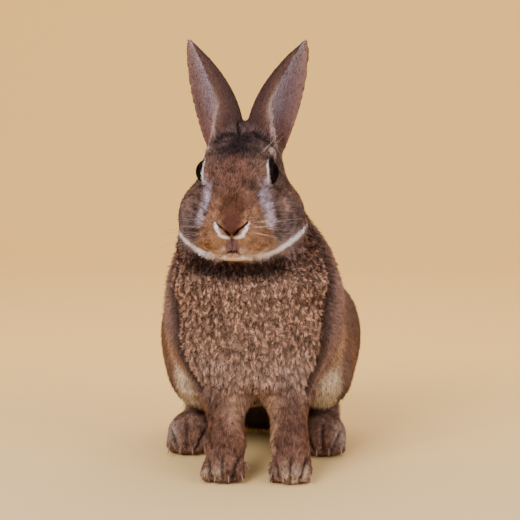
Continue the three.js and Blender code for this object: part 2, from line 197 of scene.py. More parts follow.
def store(mesh, name, kind, values, domain="POINT"):
    """Writes a named attribute: FLOAT, INT, FLOAT_VECTOR or FLOAT_COLOR."""
    field = {"FLOAT_VECTOR": "vector", "FLOAT_COLOR": "color"}.get(kind, "value")
    number = np.int32 if kind == "INT" else np.float32
    attribute = mesh.attributes.get(name) or mesh.attributes.new(name, kind, domain)
    attribute.data.foreach_set(field, np.ascontiguousarray(values, number).ravel())


def store_coat(mesh, colours):
    """Writes the coat's colour on each point."""
    store(mesh, "coat", "FLOAT_COLOR", np.column_stack((colours, np.ones(len(colours)))))


def result_of(thing):
    """The mesh that an object's modifiers make of it. The object itself is removed."""
    graph = bpy.context.evaluated_depsgraph_get()
    mesh = bpy.data.meshes.new_from_object(thing.evaluated_get(graph))
    bpy.data.objects.remove(thing)
    return mesh


# %% Closed meshes
def rows_of_quads(rows, around):
    """The faces between the rings of a tube."""
    return [(row * around + n, row * around + (n + 1) % around,
             (row + 1) * around + (n + 1) % around, (row + 1) * around + n)
            for row in range(rows - 1) for n in range(around)]


def capped_tube(rows, around):
    """The faces of a tube whose ends are fans to two points that come after its rings."""
    faces = rows_of_quads(rows, around)
    last = (rows - 1) * around
    for n in range(around):
        faces.append((rows * around, (n + 1) % around, n))
        faces.append((last + n, last + (n + 1) % around, rows * around + 1))
    return faces


def closed_mesh(name, points, faces, weld=0.0):
    """A smooth mesh of points (mm) and faces, with its faces turned outwards."""
    mesh = bpy.data.meshes.new(name)
    mesh.from_pydata((points * MM).tolist(), [], faces)
    shell = bmesh.new()
    shell.from_mesh(mesh)
    if weld:
        bmesh.ops.remove_doubles(shell, verts=shell.verts, dist=weld)
    bmesh.ops.recalc_face_normals(shell, faces=shell.faces)
    shell.to_mesh(mesh)
    shell.free()
    mesh.shade_smooth()
    return mesh


# %% [markdown]
# ## Floor and light
# A seamless sweep of pale paper, a large soft box in front and to one side, a weaker one across from it,
# and a pale surround that keeps the shadows open. The paper is paler at the front and brighter and warmer
# behind, by its place along the floor. This is painted light: the change in how the paper is lit is laid
# into its colour.

# %% Floor
SWEEP_FRONT, SWEEP_BACK, SWEEP_RISE, SWEEP_HALF_WIDTH = -3.0, 1.2, 2.6, 3.2
SWEEP_BEND, BEND_STEPS = 0.9, 16
PAPER_PALE_UNTIL, PAPER_WARM_FROM = -0.25, 0.5
PAPER_NOISE_SCALE, PAPER_NOISE_DETAIL, PAPER_BLOTCHES = 6.0, 6.0, 0.12


def sweep_mesh():
    """A floor that curves up into a wall, as a strip of quads."""
    profile = [(SWEEP_FRONT, 0.0), (SWEEP_BACK, 0.0)]
    for step in range(1, BEND_STEPS + 1):
        angle = math.radians(90) * step / BEND_STEPS
        profile.append((SWEEP_BACK + SWEEP_BEND * math.sin(angle), SWEEP_BEND * (1 - math.cos(angle))))
    profile.append((SWEEP_BACK + SWEEP_BEND, SWEEP_RISE))
    places = [(side * SWEEP_HALF_WIDTH, y, z) for y, z in profile for side in (-1, 1)]
    quads = [(2 * i, 2 * i + 1, 2 * i + 3, 2 * i + 2) for i in range(len(profile) - 1)]
    mesh = bpy.data.meshes.new("paper_sweep")
    mesh.from_pydata(places, [], quads)
    mesh.shade_smooth()
    return mesh


def paper_material():
    material, tree, shader = new_material("pale_paper", 0.9)
    place = add_node(tree, "ShaderNodeTexCoord")
    axes = add_node(tree, "ShaderNodeSeparateXYZ")
    depth = add_node(tree, "ShaderNodeMapRange")
    depth.inputs["From Min"].default_value = PAPER_PALE_UNTIL
    depth.inputs["From Max"].default_value = PAPER_WARM_FROM
    join(tree, place.outputs["Object"], axes.inputs[0])
    join(tree, axes.outputs["Y"], depth.inputs["Value"])
    blotches = object_noise(tree, PAPER_NOISE_SCALE, PAPER_NOISE_DETAIL)
    tone = unsettled(tree, depth.outputs["Result"], blotches, PAPER_BLOTCHES)
    # painted light: the paper brightens and warms from front to back, in place of a change in its lighting
    colour_by(tree, shader, tone, (0.0, paint(214, 184, 134)), (1.0, paint(255, 207, 118)))
    return material


sweep = new_object("paper_sweep", sweep_mesh())
sweep.data.materials.append(paper_material())
print(f"stage: a sweep of {len(sweep.data.polygons)} strips")


# %% Lights
BODY_MIDDLE = (0, 0, 0.16)


def soft_box(name, place, size, watts, colour):
    """A square area light that looks at the middle of the body."""
    data = bpy.data.lights.new(name, "AREA")
    data.shape = "SQUARE"
    data.size = size
    data.energy = watts
    data.color = colour
    lamp = new_object(name, data)
    lamp.location = place
    aim = Vector(BODY_MIDDLE) - Vector(place)
    lamp.rotation_euler = aim.to_track_quat("-Z", "Y").to_euler()


soft_box("key_light", (-0.75, -1.5, 1.25), 0.9, 40, (1.0, 0.98, 0.98))
soft_box("fill_light", (1.3, -1.2, 0.8), 1.2, 18, (1.0, 0.98, 1.0))
soft_box("top_light", (0.1, 0.5, 1.7), 1.4, 16, (1.0, 0.97, 0.97))
world = bpy.data.worlds.new("studio")
world.use_nodes = True
surround = world.node_tree.nodes["Background"]
surround.inputs["Color"].default_value = (1.0, 0.96, 0.98, 1.0)
surround.inputs["Strength"].default_value = 0.7
bpy.context.scene.world = world
print("lights: 3 soft boxes and a pale surround")

# %% [markdown]
# ## The head's own frame
# The head is turned a few degrees to the animal's right. The face is sculpted and painted in the head's
# own frame: x to its left, y to its back and z up, in millimetres, with the nose tip near y = -8.

# %% Head frame
HEAD_TURN = math.radians(-4)
HEAD_OFFSET, HEAD_PIVOT = -7.6, 48.0
ORIGIN_SHIFT = np.array((1.317, 122.249, 0.0))


def to_head(points):
    """Places (mm) seen from the head's own frame."""
    x, y, z = (points + ORIGIN_SHIFT - (HEAD_OFFSET, HEAD_PIVOT, 0)).T
    cosine, sine = math.cos(HEAD_TURN), math.sin(HEAD_TURN)
    return np.column_stack((x * cosine + y * sine, HEAD_PIVOT - x * sine + y * cosine, z))


def from_head(points):
    """Places (mm) in the head's frame, back in the model's frame."""
    x, y, z = (np.atleast_2d(points) - (0, HEAD_PIVOT, 0)).T
    cosine, sine = math.cos(HEAD_TURN), math.sin(HEAD_TURN)
    turned = np.column_stack((x * cosine - y * sine, x * sine + y * cosine, z))
    return turned + (HEAD_OFFSET, HEAD_PIVOT, 0) - ORIGIN_SHIFT


def mirrored(points):
    """Both sides folded onto the left one."""
    folded = points.copy()
    folded[:, 0] = np.abs(folded[:, 0])
    return folded


print(f"head frame: its origin is at {from_head(np.zeros(3))[0].round(1)} mm")


# %% Directions and soft steps
def unit(vectors):
    return vectors / (np.linalg.norm(vectors, axis=-1, keepdims=True) + 1e-9)


def step(values, low, high):
    """0 below low, 1 above high and smooth between; high may be the lower number."""
    t = np.clip((values - low) / (high - low), 0, 1)
    return t * t * (3 - 2 * t)


def hump(distance, width):
    """1 on a line and 0 well beyond its width."""
    return np.exp(-((distance / width) ** 2))


# %% [markdown]
# ## Ears
# An upright ear is a leaf-shaped gutter, open outwards and forwards at its foot and more forwards
# higher up. Its wall is thin, so it is lofted afresh from the same sizes as the solid with far finer
# rows, and only then melted into the head.

# %% Ear shape
EAR_FOOT, EAR_RISE, EAR_OUT, EAR_BACK = np.array((17.6, 64.0, 244.0)), 90.0, 29.0, 17.0
EAR_WIDEST, EAR_WIDEST_AT, EAR_NARROWING, EAR_WALL = 18.6, 0.36, 6.2, 3.4
EAR_FRONT_EDGE, EAR_OUTER_EDGE = (14, 96), (338, 346)


def ear_half_width(t):
    """Half the ear's width at a share t of its height, 0 at its foot and 1 at its tip."""
    above = ((t - EAR_WIDEST_AT) / (1 - EAR_WIDEST_AT)).clip(0, 1)
    below = (1 - t / EAR_WIDEST_AT).clip(0, None)
    leaf = EAR_WIDEST * (1 - above**2) ** 0.9
    return np.where(t > EAR_WIDEST_AT, leaf, EAR_WIDEST - EAR_NARROWING * below**2)


def ear_flatness(t):
    """How deep the gutter is for its width."""
    return 0.92 - 0.4 * t


def ear_middle(t):
    """The axis of the left ear, in the head's frame."""
    rise = np.maximum(t, 0)
    return np.stack((EAR_FOOT[0] + EAR_OUT * rise**1.65, EAR_FOOT[1] + EAR_BACK * t,
                     EAR_FOOT[2] + EAR_RISE * t), -1)


def ear_angles(t):
    """The ends of the wall at t: degrees from the outer side, by way of the front and the back."""
    turn = np.minimum(1, np.maximum(t, 0) / 0.45) ** 0.6
    front = EAR_FRONT_EDGE[0] + (EAR_FRONT_EDGE[1] - EAR_FRONT_EDGE[0]) * turn
    return front, EAR_OUTER_EDGE[0] + (EAR_OUTER_EDGE[1] - EAR_OUTER_EDGE[0]) * t


print(f"ears: {ear_half_width(np.linspace(0, 1, 50)).max() * 2:.0f} mm wide, {EAR_RISE:.0f} mm of rise")

# %% Ear mesh
WELD = 0.00002
EAR_ROWS, EAR_COLUMNS = 60, 40
EAR_SINK = 0.06
EAR_LEAST_HALF_WIDTH = 1.1
RIM_SQUARENESS = 16


def ear_mesh(side):
    """A closed, finely lofted ear on one side of the head (1 left, -1 right)."""
    t = np.linspace(-EAR_SINK, 1.0, EAR_ROWS)[:, None]
    share = np.linspace(0, 1, EAR_COLUMNS)
    share = np.concatenate((share, share[::-1]))[None, :]
    face = np.repeat((1.0, -1.0), EAR_COLUMNS)[None, :]
    front, outer = ear_angles(t)
    angle = np.radians(front + (outer - front) * share)
    rim = np.sqrt(1 - np.abs(2 * share - 1) ** RIM_SQUARENESS)
    half_width = np.maximum(ear_half_width(t), EAR_LEAST_HALF_WIDTH)
    deep = face * EAR_WALL / 2 * rim
    across = (half_width + deep) * np.cos(angle)
    along = -(half_width * ear_flatness(t) + deep) * np.sin(angle)
    places = ear_middle(t[:, 0])[:, None, :] + np.stack((across, along, np.zeros_like(across)), -1)
    around = 2 * EAR_COLUMNS
    faces = rows_of_quads(EAR_ROWS, around)
    last = (EAR_ROWS - 1) * around
    for n in range(EAR_COLUMNS - 1):
        faces.append((n + 1, n, around - 1 - n, around - 2 - n))
        faces.append((last + n, last + n + 1, last + around - 2 - n, last + around - 1 - n))
    return closed_mesh("ear", from_head(places.reshape(-1, 3) * (side, 1, 1)), faces, WELD)


# %% [markdown]
# ## The skin
# Under its coat a rabbit is one unbroken surface. The solids of the flesh are copied, each is rounded
# by subdivision with its cut edges kept sharp, and all are melted into one by a voxel remesh. The eyes
# are melted in too, because the lids are sculpted over them later.

# %% Gather the flesh
FLESH = ["head", "muzzle", "neck", "trunk", "tail"]
FLESH += [f"{part}_{side}" for part in ("ear", "thigh", "foreleg", "forefoot", "hindfoot")
          for side in ("left", "right")]
EYES = ["eye_left", "eye_right"]
SHARP_ANGLE = math.radians(42)
OVERLAP = 0.0002
SKIN_VOXEL = 0.0016


def welded_copy(names):
    """The nodes welded and slightly swollen so that neighbours meet, with their cut edges creased."""
    shell = bmesh.new()
    for name in names:
        shell.from_mesh(frame["nodes"][name].data)
    bmesh.ops.remove_doubles(shell, verts=shell.verts, dist=WELD)
    crease = shell.edges.layers.float.new("crease_edge")
    for edge in shell.edges:
        if edge.is_manifold and edge.calc_face_angle() > SHARP_ANGLE:
            edge[crease] = 1.0
    shell.normal_update()
    for vertex in shell.verts:
        vertex.co += vertex.normal * OVERLAP
    mesh = bpy.data.meshes.new("flesh")
    shell.to_mesh(mesh)
    shell.free()
    return mesh


def modified(name, mesh, kind, **settings):
    """The mesh that one modifier makes of it."""
    thing = new_object(name, mesh)
    modifier = thing.modifiers.new(kind.lower(), kind)
    for key, value in settings.items():
        setattr(modifier, key, value)
    return result_of(thing)


def one_mesh(name, meshes):
    shell = bmesh.new()
    for mesh in meshes:
        shell.from_mesh(mesh)
    joined = bpy.data.meshes.new(name)
    shell.to_mesh(joined)
    shell.free()
    return joined


body_parts = [name for name in FLESH if not name.startswith("ear")] + EYES
rounded_body = modified("body", welded_copy(body_parts), "SUBSURF", levels=2, render_levels=2)
flesh_mesh = one_mesh("flesh", [rounded_body, ear_mesh(1), ear_mesh(-1)])
skin_mesh = modified("flesh", flesh_mesh, "REMESH", mode="VOXEL", voxel_size=SKIN_VOXEL)
skin_mesh.name = "skin"
print(f"skin: {len(skin_mesh.vertices)} points after the remesh")

# %% [markdown]
# ## Which part a point of the skin belongs to
# The remesh forgets the names of the solids. Each point of the skin is given the node that it lies
# nearest to, so that a part can have its own coat, colour and lie.

# %% Parts of the skin
REGION_NAMES = FLESH + EYES
PART_NAMES = [name.split("_")[0] for name in REGION_NAMES]


def cad_tree(names):
    """A search tree over the nodes' triangles (mm), and the index of the name that owns each one."""
    places, faces, owners = [], [], []
    for index, name in enumerate(names):
        mesh = frame["nodes"][name].data
        mesh.calc_loop_triangles()
        faces.append(read(mesh.loop_triangles, "vertices", np.int32, 3) + sum(map(len, places)))
        places.append(points_of(mesh))
        owners.append(np.full(len(faces[-1]), index))
    tree = BVHTree.FromPolygons(np.vstack(places).tolist(), np.vstack(faces).tolist())
    return tree, np.concatenate(owners)


def nearest_names(points, names):
    """For each point, the index in names of the node that it lies nearest to."""
    tree, owners = cad_tree(names)
    return np.array([owners[tree.find_nearest(point)[2]] for point in points.tolist()])


def by_region(values, default=0.0):
    """One number for each skin point, from a table keyed by the first word of a node's name."""
    return np.array([values.get(part, default) for part in PART_NAMES])[region]


def is_part(*parts):
    """True for the skin points that belong to these parts, such as the ears."""
    return np.isin(region, [index for index, part in enumerate(PART_NAMES) if part in parts])


skin_points = points_of(skin_mesh)
region = nearest_names(skin_points, REGION_NAMES)
print(f"parts: {is_part('head', 'muzzle').sum()} of {len(region)} points lie on the head")

# %% [markdown]
# ## Ironing
# The remesh leaves fine steps and faint seams. They are ironed out by pulling each point towards its
# neighbours and pushing it back a little more, which keeps the volume. Small forms such as toes are ironed
# less, and so are the muzzle and the eyes.

# %% Smoothing over the mesh
IRON_IN, IRON_OUT = 0.5, -0.52
IRON_SHARE = {"ear": 1.0, "forefoot": 0.35, "hindfoot": 0.35, "muzzle": 0.6, "eye": 0.6}


def ends_of(mesh):
    return read(mesh.edges, "vertices", np.int32, 2)


def neighbour_mean(values, ends):
    """The mean of each point's neighbours, for one or more columns."""
    columns = values.reshape(len(values), -1)
    count = np.bincount(ends.ravel(), minlength=len(values)).clip(1)
    mean = np.empty_like(columns, float)
    for column in range(columns.shape[1]):
        one = columns[:, column]
        total = np.bincount(ends[:, 0], one[ends[:, 1]], len(values))
        total += np.bincount(ends[:, 1], one[ends[:, 0]], len(values))
        mean[:, column] = total / count
    return mean.reshape(values.shape)


def diffused(values, rounds):
    """Values spread over the skin, so that one part runs into the next."""
    for _ in range(rounds):
        values = 0.5 * values + 0.5 * neighbour_mean(values, skin_ends)
    return values


def ironed(points, rounds, share):
    """Smoothed places that keep the volume; share is 0 to 1 for each point."""
    share = share[:, None]
    for _ in range(rounds):
        for pull in (IRON_IN, IRON_OUT):
            points = points + pull * share * (neighbour_mean(points, skin_ends) - points)
    return points


skin_ends = ends_of(skin_mesh)
skin_points = ironed(skin_points, 40, diffused(by_region(IRON_SHARE, 1.0), 12))
put_points(skin_mesh, skin_points)
print(f"skin: ironed, now {np.ptp(skin_points[:, 2]):.0f} mm tall")

# %% [markdown]
# ## Coarser mesh under the long coat
# The trunk and legs are plain forms under deep hair. Decimation thins them out, and leaves the head,
# ears and feet as they are, because the modifier is held to a vertex group.

# %% Thin the plain parts
PLAIN_PARTS = ("neck", "trunk", "tail", "thigh", "foreleg")
SHARE_OF_FACES_KEPT = 0.42


def thinned(mesh, plain, kept):
    """The mesh with fewer faces where plain is true; kept is the share of all its faces that stays."""
    thing = new_object("thinned", mesh)
    group = thing.vertex_groups.new(name="plain")
    group.add(np.nonzero(plain)[0].tolist(), 1.0, "REPLACE")
    modifier = thing.modifiers.new("decimate", "DECIMATE")
    modifier.ratio = kept
    modifier.vertex_group = group.name
    return result_of(thing)


skin_mesh = thinned(skin_mesh, is_part(*PLAIN_PARTS), SHARE_OF_FACES_KEPT)
skin_mesh.name = "skin"
print(f"skin: {len(skin_mesh.polygons)} faces after thinning")

# %% [markdown]
# ## Finer mesh where the face is sculpted
# Lids, nostrils and lips are about a millimetre across, so the mesh is divided twice round the eyes and
# on the muzzle, and left alone elsewhere.

# %% Refine the face
EYE_PLACE = np.array((21.2, 25.0, 235.0))
EYE_RADIUS = 10.2
MUZZLE_PLACE = np.array((0.0, 0.0, 189.0))
EYE_REACH, MUZZLE_REACH = 13.5, 25.0


def reach_of_face(points):
    """True for the points round the eyes and on the muzzle."""
    face = mirrored(to_head(points))
    near_eye = np.linalg.norm(face - EYE_PLACE, axis=1) < EYE_REACH
    return near_eye | (np.linalg.norm(face - MUZZLE_PLACE, axis=1) < MUZZLE_REACH)


def refine(mesh):
    """Cuts in half the edges inside the sculpted areas."""
    shell = bmesh.new()
    shell.from_mesh(mesh)
    inside = reach_of_face(points_of(mesh))
    edges = [e for e in shell.edges if inside[e.verts[0].index] and inside[e.verts[1].index]]
    bmesh.ops.subdivide_edges(shell, edges=edges, cuts=1, use_grid_fill=True)
    bmesh.ops.triangulate(shell, faces=[f for f in shell.faces if len(f.verts) > 4])
    shell.to_mesh(mesh)
    shell.free()


for _ in range(2):
    refine(skin_mesh)
    skin_ends = ends_of(skin_mesh)
    skin_points = points_of(skin_mesh)
    skin_points = ironed(skin_points, 8, diffused(reach_of_face(skin_points).astype(float), 4))
    put_points(skin_mesh, skin_points)
region = nearest_names(skin_points, REGION_NAMES)
head_points = to_head(skin_points)
print(f"skin: {len(skin_points)} points with the finer face")

# %% [markdown]
# ## How deep the coat is
# The solids reach to the tips of the coat. The skin lies inside them by the coat's depth, which is only
# a fraction of a millimetre on the ears and nose and most on the chest.

# %% Coat depth
COAT_DEPTH = {"head": 1.3, "muzzle": 0.9, "ear": 0.8, "eye": 0.6, "neck": 4.2, "trunk": 2.7, "tail": 5.0,
              "thigh": 2.5, "foreleg": 2.6, "forefoot": 1.6, "hindfoot": 0.7}
CHEST_PLACE, CHEST_REACH = np.array((-3.0, -82.0, 130.0)), 75.0
CHEST_EXTRA = 2.2
SOLE_HEIGHT, SOLE_SHARE = 5.0, 0.2


def normals_of(mesh):
    return read(mesh.vertex_normals, "vector", width=3).astype(float)


chest = step(np.linalg.norm(skin_points - CHEST_PLACE, axis=1), CHEST_REACH, 0.4 * CHEST_REACH)
trunk_like = np.clip(diffused(is_part("trunk", "neck").astype(float), 14) * 1.6 - 0.3, 0, 1)
leg_like = diffused(is_part("foreleg").astype(float), 10)
depth = diffused(by_region(COAT_DEPTH), 30) + CHEST_EXTRA * chest * trunk_like
depth = depth * (SOLE_SHARE + (1 - SOLE_SHARE) * step(skin_points[:, 2], 0.0, SOLE_HEIGHT))
inward = diffused(normals_of(skin_mesh), 6)
inward /= np.linalg.norm(inward, axis=1)[:, None]
skin_points = skin_points - inward * depth[:, None]
put_points(skin_mesh, skin_points)
head_points = to_head(skin_points)
print(f"coat depth: {depth.min():.1f} to {depth.max():.1f} mm")

# %% [markdown]
# ## Lids
# A rabbit's lids are thin, dark, damp rims that lie on the eyeball all round a nearly round opening.
# Inside the opening the skin is sunk under the eyeball. Outside it, the skin rises from the ball in a
# rounded rim and runs out into the face, with a shallow fold above.

# %% Places round the eye
LOOK_FORWARD, LOOK_UP = math.radians(12), math.radians(4)
OPENING_ANGLE, OPENING_EXTRA_HEIGHT = 49.0, 11.0


def eye_coordinates(face):
    """For mirrored face points: the arc (mm) outside the lid's edge, the distance from the eyeball's
    middle, the unit direction from it, and how far towards the top of the eye the point lies (-1..1)."""
    axis = np.array((math.cos(LOOK_FORWARD) * math.cos(LOOK_UP),
                     -math.sin(LOOK_FORWARD) * math.cos(LOOK_UP), math.sin(LOOK_UP)))
    offset = face - EYE_PLACE
    distance = np.linalg.norm(offset, axis=1)
    direction = offset / distance[:, None]
    angle = np.degrees(np.arccos(np.clip(direction @ axis, -1, 1)))
    across = direction - (direction @ axis)[:, None] * axis
    across /= np.linalg.norm(across, axis=1)[:, None] + 1e-9
    upward = across[:, 2]
    edge = OPENING_ANGLE + OPENING_EXTRA_HEIGHT * upward**2
    return np.radians(angle - edge) * EYE_RADIUS, distance, direction, upward


lid_arc, eye_distance, _, lid_upward = eye_coordinates(mirrored(head_points))
print(f"eyes: {(lid_arc < 0).sum()} skin points look out of the two openings")

# %% Sculpt the lids
LID_CLEARANCE, LID_THICKNESS, LID_WIDTH = 0.25, 1.1, 0.9
LID_BLEND_START, LID_BLEND = 1.2, 5.5
LID_REACH = EYE_RADIUS + 9
SUNK = 1.2
FOLD_ARC, FOLD_WIDTH, FOLD_DEPTH = 4.6, 1.1, 0.55


def sculpted_lids(points):
    """The skin's points (mm) with the lids drawn round both eyes."""
    head = to_head(points)
    side = np.where(head[:, 0] < 0, -1.0, 1.0)
    face = mirrored(head)
    arc, distance, direction, upward = eye_coordinates(face)
    near = (distance < LID_REACH) & (arc < 3 * LID_BLEND)
    on_lid = EYE_RADIUS + LID_CLEARANCE + LID_THICKNESS * (1 - np.exp(-np.maximum(arc, 0) / LID_WIDTH))
    blend = step(arc, LID_BLEND_START, LID_BLEND)
    outside = np.maximum(on_lid, on_lid + (distance - on_lid) * blend)
    fold = FOLD_DEPTH * hump(arc - FOLD_ARC, FOLD_WIDTH) * step(upward, -0.2, 0.5)
    wanted = np.where(arc < 0, EYE_RADIUS - SUNK * step(arc, 0, -0.6), outside - fold)
    face[near] = EYE_PLACE + direction[near] * wanted[near, None]
    face[:, 0] *= side
    return from_head(face)


skin_points = sculpted_lids(skin_points)
near_lids = step(eye_distance, LID_REACH, LID_REACH - 4) * step(lid_arc, 9, 5)
skin_points = ironed(skin_points, 2, near_lids * 0.6)
put_points(skin_mesh, skin_points)
print(f"lids: sculpted over {(near_lids > 0.5).sum()} points")

# %% [markdown]
# ## Lines on the surface
# Furrows, ridges and markings follow lines. A line is given by a few places and then laid on the skin
# in short strides, because a straight chord between two places would run inside a rounded form. Smooth
# noise makes edges ragged and breaks the coat up.

# %% Noise and lines
NOISE_CELLS = 32
STRIDE = 1.2


def cloud(points, size, seed):
    """Smooth noise from 0 to 1 with lumps about size (mm) across, the same on every run."""
    table = np.random.default_rng(seed).random((NOISE_CELLS,) * 3)
    cell = np.floor(points / size).astype(int)
    inside = points / size - cell
    inside = inside * inside * (3 - 2 * inside)
    total = np.zeros(len(points))
    for corner in np.ndindex(2, 2, 2):
        share = np.prod(np.where(corner, inside, 1 - inside), axis=1)
        total += share * table[tuple(((cell + corner) % NOISE_CELLS).T)]
    return total


def distance_to_path(points, path):
    """How far (mm) each point is from a line through the path's places."""
    path = np.array(path, float)
    if len(path) == 1:
        return np.linalg.norm(points - path[0], axis=1)
    nearest = np.full(len(points), np.inf)
    for start, end in zip(path[:-1], path[1:]):
        along = end - start
        t = np.clip((points - start) @ along / max(along @ along, 1e-6), 0, 1)
        nearest = np.minimum(nearest, np.linalg.norm(points - start - t[:, None] * along, axis=1))
    return nearest


def surface_tree(points):
    """A search tree over the skin with its points at the given places (mm)."""
    faces = [tuple(face.vertices) for face in skin_mesh.polygons]
    return BVHTree.FromPolygons(points.tolist(), faces)


def distance_to_line(points, tree, path):
    """How far (mm) each point is from the path once it is laid on the tree's surface."""
    path = np.array(path, float)
    places = [path[:1]]
    for start, end in zip(path[:-1], path[1:]):
        count = max(1, math.ceil(np.linalg.norm(end - start) / STRIDE))
        places.append(start + (end - start) * np.arange(1, count + 1)[:, None] / count)
    laid = [tree.find_nearest(place)[0] for place in np.vstack(places).tolist()]
    return distance_to_path(points, laid)


# %% [markdown]
# ## Nose, lips, crown and chest
# The nostrils are two slits that close to a V, and the upper lip is cleft below them. Loose skin makes
# a fold across the crown between the ears, parted in the middle. The toes show as grooves between the
# claws. The plush of the chest stands forward like a bib, with a furrow where it meets the sleeker
# shoulders. Each is a groove or a ridge of known depth and width along a line, pushed along the skin's
# own normal.

# %% Relief of the face and the crown
NOSTRIL = ((11.6, -4.4, 199.6), (6.0, -7.0, 195.2), (0.0, -6.0, 190.2))
CLEFT = ((0.0, -6.0, 190.6), (0.0, -1.0, 177.6))
CROWN_PART = ((-3.7, 63.0, 268.0), (-1.5, 50.0, 259.0), (-1.2, 45.0, 257.8))
CROWN_PART_WIDTH, CROWN_PART_HEIGHT = 1.5, -3.2
#   what it is, path, width, height along the normal
FACE_RELIEF = (
    ("nostril", NOSTRIL, 0.95, -1.9),
    ("wing of the nose", ((11.0, -5.5, 200.8), (4.0, -8.0, 196.5)), 1.5, 0.7),
    ("pad under the nostril", ((12.5, -2.8, 196.4), (6.0, -5.0, 190.0)), 2.2, 0.9),
    ("lip cleft", CLEFT, 0.75, -1.6),
    ("upper lip", ((4.5, -3.4, 183.5),), 3.6, 0.7),
    ("mouth", ((0.0, -0.6, 177.2), (4.5, 1.4, 176.0), (11.0, 6.0, 171.5), (17.0, 14.0, 168.5)), 1.1, -1.8),
    ("lower lip", ((0.0, 3.0, 172.5), (7.0, 6.0, 171.0)), 3.0, 0.8),
)
CROWN_FOLD_Y, CROWN_FOLD_CURVE = 43.5, 0.021
#   millimetres behind the fold's line, width, height along the normal
CROWN_FOLD = ((3.5, 3.5, 1.5), (-1.2, 1.8, -1.2))

head_points = to_head(skin_points)
face = mirrored(head_points)
face_tree, body_tree = surface_tree(head_points), surface_tree(skin_points)
relief = np.zeros(len(face))
for _, path, width, height in FACE_RELIEF:
    relief += height * hump(distance_to_line(face, face_tree, path), width)
on_crown = step(face[:, 2], 248, 254) * step(face[:, 0], 26, 20)
behind_fold = face[:, 1] - CROWN_FOLD_Y - CROWN_FOLD_CURVE * face[:, 0] ** 2
for behind, width, height in CROWN_FOLD:
    relief += on_crown * height * hump(behind_fold - behind, width)
crown_part = distance_to_line(head_points, face_tree, CROWN_PART)
relief += CROWN_PART_HEIGHT * hump(crown_part, CROWN_PART_WIDTH)
print(f"face and crown: {relief.min():.1f} to {relief.max():.1f} mm")

# %% Gaps between the toes
TOE_GAP_WIDTH, TOE_GAP_DEPTH = 1.8, 2.2
FAR = 99.0


def toe_gaps():
    """Lines over each foot in the grooves between its toes, midway between the claws."""
    gaps = []
    for foot in ("fore_left", "fore_right", "hind_left", "hind_right"):
        claws = [points_of(frame["nodes"][f"claw_{foot}_{n}"].data).mean(0) for n in (1, 2, 3, 4)]
        for one, other in zip(claws[:-1], claws[1:]):
            middle = (one + other) / 2
            gaps.append((middle + (0, -2, -3), middle + (0, 4, 7), middle + (0, 16, 11)))
    return gaps


between_toes = np.full(len(skin_points), FAR)
for gap in toe_gaps():
    between_toes = np.minimum(between_toes, distance_to_line(skin_points, body_tree, gap))
relief -= TOE_GAP_DEPTH * hump(between_toes, TOE_GAP_WIDTH)
print(f"toes: {len(toe_gaps())} gaps")

# %% The bib of plush on the chest
BIB_HEIGHTS = (60, 83, 134, 162, 185)
BIB_EDGE = (-92, -79, -76, -62, -48)
FURROW_DEPTH, FURROW_WIDTH, FURROW_BEHIND = 5.0, 4.0, 2.0
BIB_RISE = 2.2


def behind_bib(points):
    """How far (mm) each point lies behind the edge of the bib."""
    return points[:, 1] - np.interp(points[:, 2], BIB_HEIGHTS, BIB_EDGE)


above_legs = step(skin_points[:, 2], 55, 70)
at_bib = trunk_like * above_legs * step(np.abs(skin_points[:, 0]), 18, 34)
relief -= FURROW_DEPTH * at_bib * hump(behind_bib(skin_points) - FURROW_BEHIND, FURROW_WIDTH)
relief += BIB_RISE * trunk_like * above_legs * step(behind_bib(skin_points), -3, -12)
skin_points = skin_points + normals_of(skin_mesh) * relief[:, None]
put_points(skin_mesh, skin_points)
head_points = to_head(skin_points)
print(f"relief: {relief.min():.1f} to {relief.max():.1f} mm")

# %% [markdown]
# ## The lie of the coat
# Hair grows away from the nose, up over the forehead and back over the cheeks, along the ears to their
# tips, down the chest and legs, and backwards over the body. Each skin point gets that direction, laid
# flat on the skin and smoothed so that one part runs into the next. On the bib it curls this way and
# that.

# %% Lie of the coat
NOSE_TIP = np.array((0.0, -9.0, 194.5))
LIE = {"neck": (0, 0.35, -0.9), "trunk": (0, 0.75, -0.65), "tail": (0, 0.8, 0.3),
       "thigh": (0, 0.75, -0.65), "foreleg": (0, 0.1, -1), "forefoot": (0, -0.9, -0.4),
       "hindfoot": (0, -0.95, -0.3), "ear": (0.25, 0.15, 0.95)}
PARTING_WIDTH, PARTING_SPREAD = 5.0, 0.7
CURL_SIZE, CURL_STRENGTH, CURL_RISE = 9.0, 1.2, 0.35

height = skin_points[:, 2]
lie = np.array([LIE.get(part, (0, 0, 0)) for part in PART_NAMES], float)[region]
in_face, in_ear = is_part("head", "muzzle", "eye"), is_part("ear")
lie[in_face] = unit(head_points - NOSE_TIP)[in_face]
lie[in_ear, 0] *= np.sign(head_points[in_ear, 0])
front_of_chest = (step(skin_points[:, 1], -60, -100) * trunk_like)[:, None]
lie = lie * (1 - front_of_chest) + front_of_chest * (0, 0, -1)
lie = unit(diffused(lie, 20))
parting = hump(distance_to_path(head_points, CROWN_PART), PARTING_WIDTH)
lie[:, 0] += PARTING_SPREAD * parting * np.sign(head_points[:, 0] + 2.6)

bib = step(behind_bib(skin_points), 5, -3) * step(height, 46, 78) * np.maximum(trunk_like, leg_like)
curly = bib * (0.45 + 0.55 * step(height, 80, 120))
swirl = np.column_stack([cloud(skin_points, CURL_SIZE, seed) for seed in (61, 62, 63)]) - 0.5
lie = lie + CURL_STRENGTH * curly[:, None] * swirl
skin_normals = normals_of(skin_mesh)
flat = unit(lie - (lie * skin_normals).sum(1)[:, None] * skin_normals)
lie = flat * (1 - CURL_RISE * curly[:, None])
print(f"lie of the coat: {(curly > 0.5).sum()} points curl")

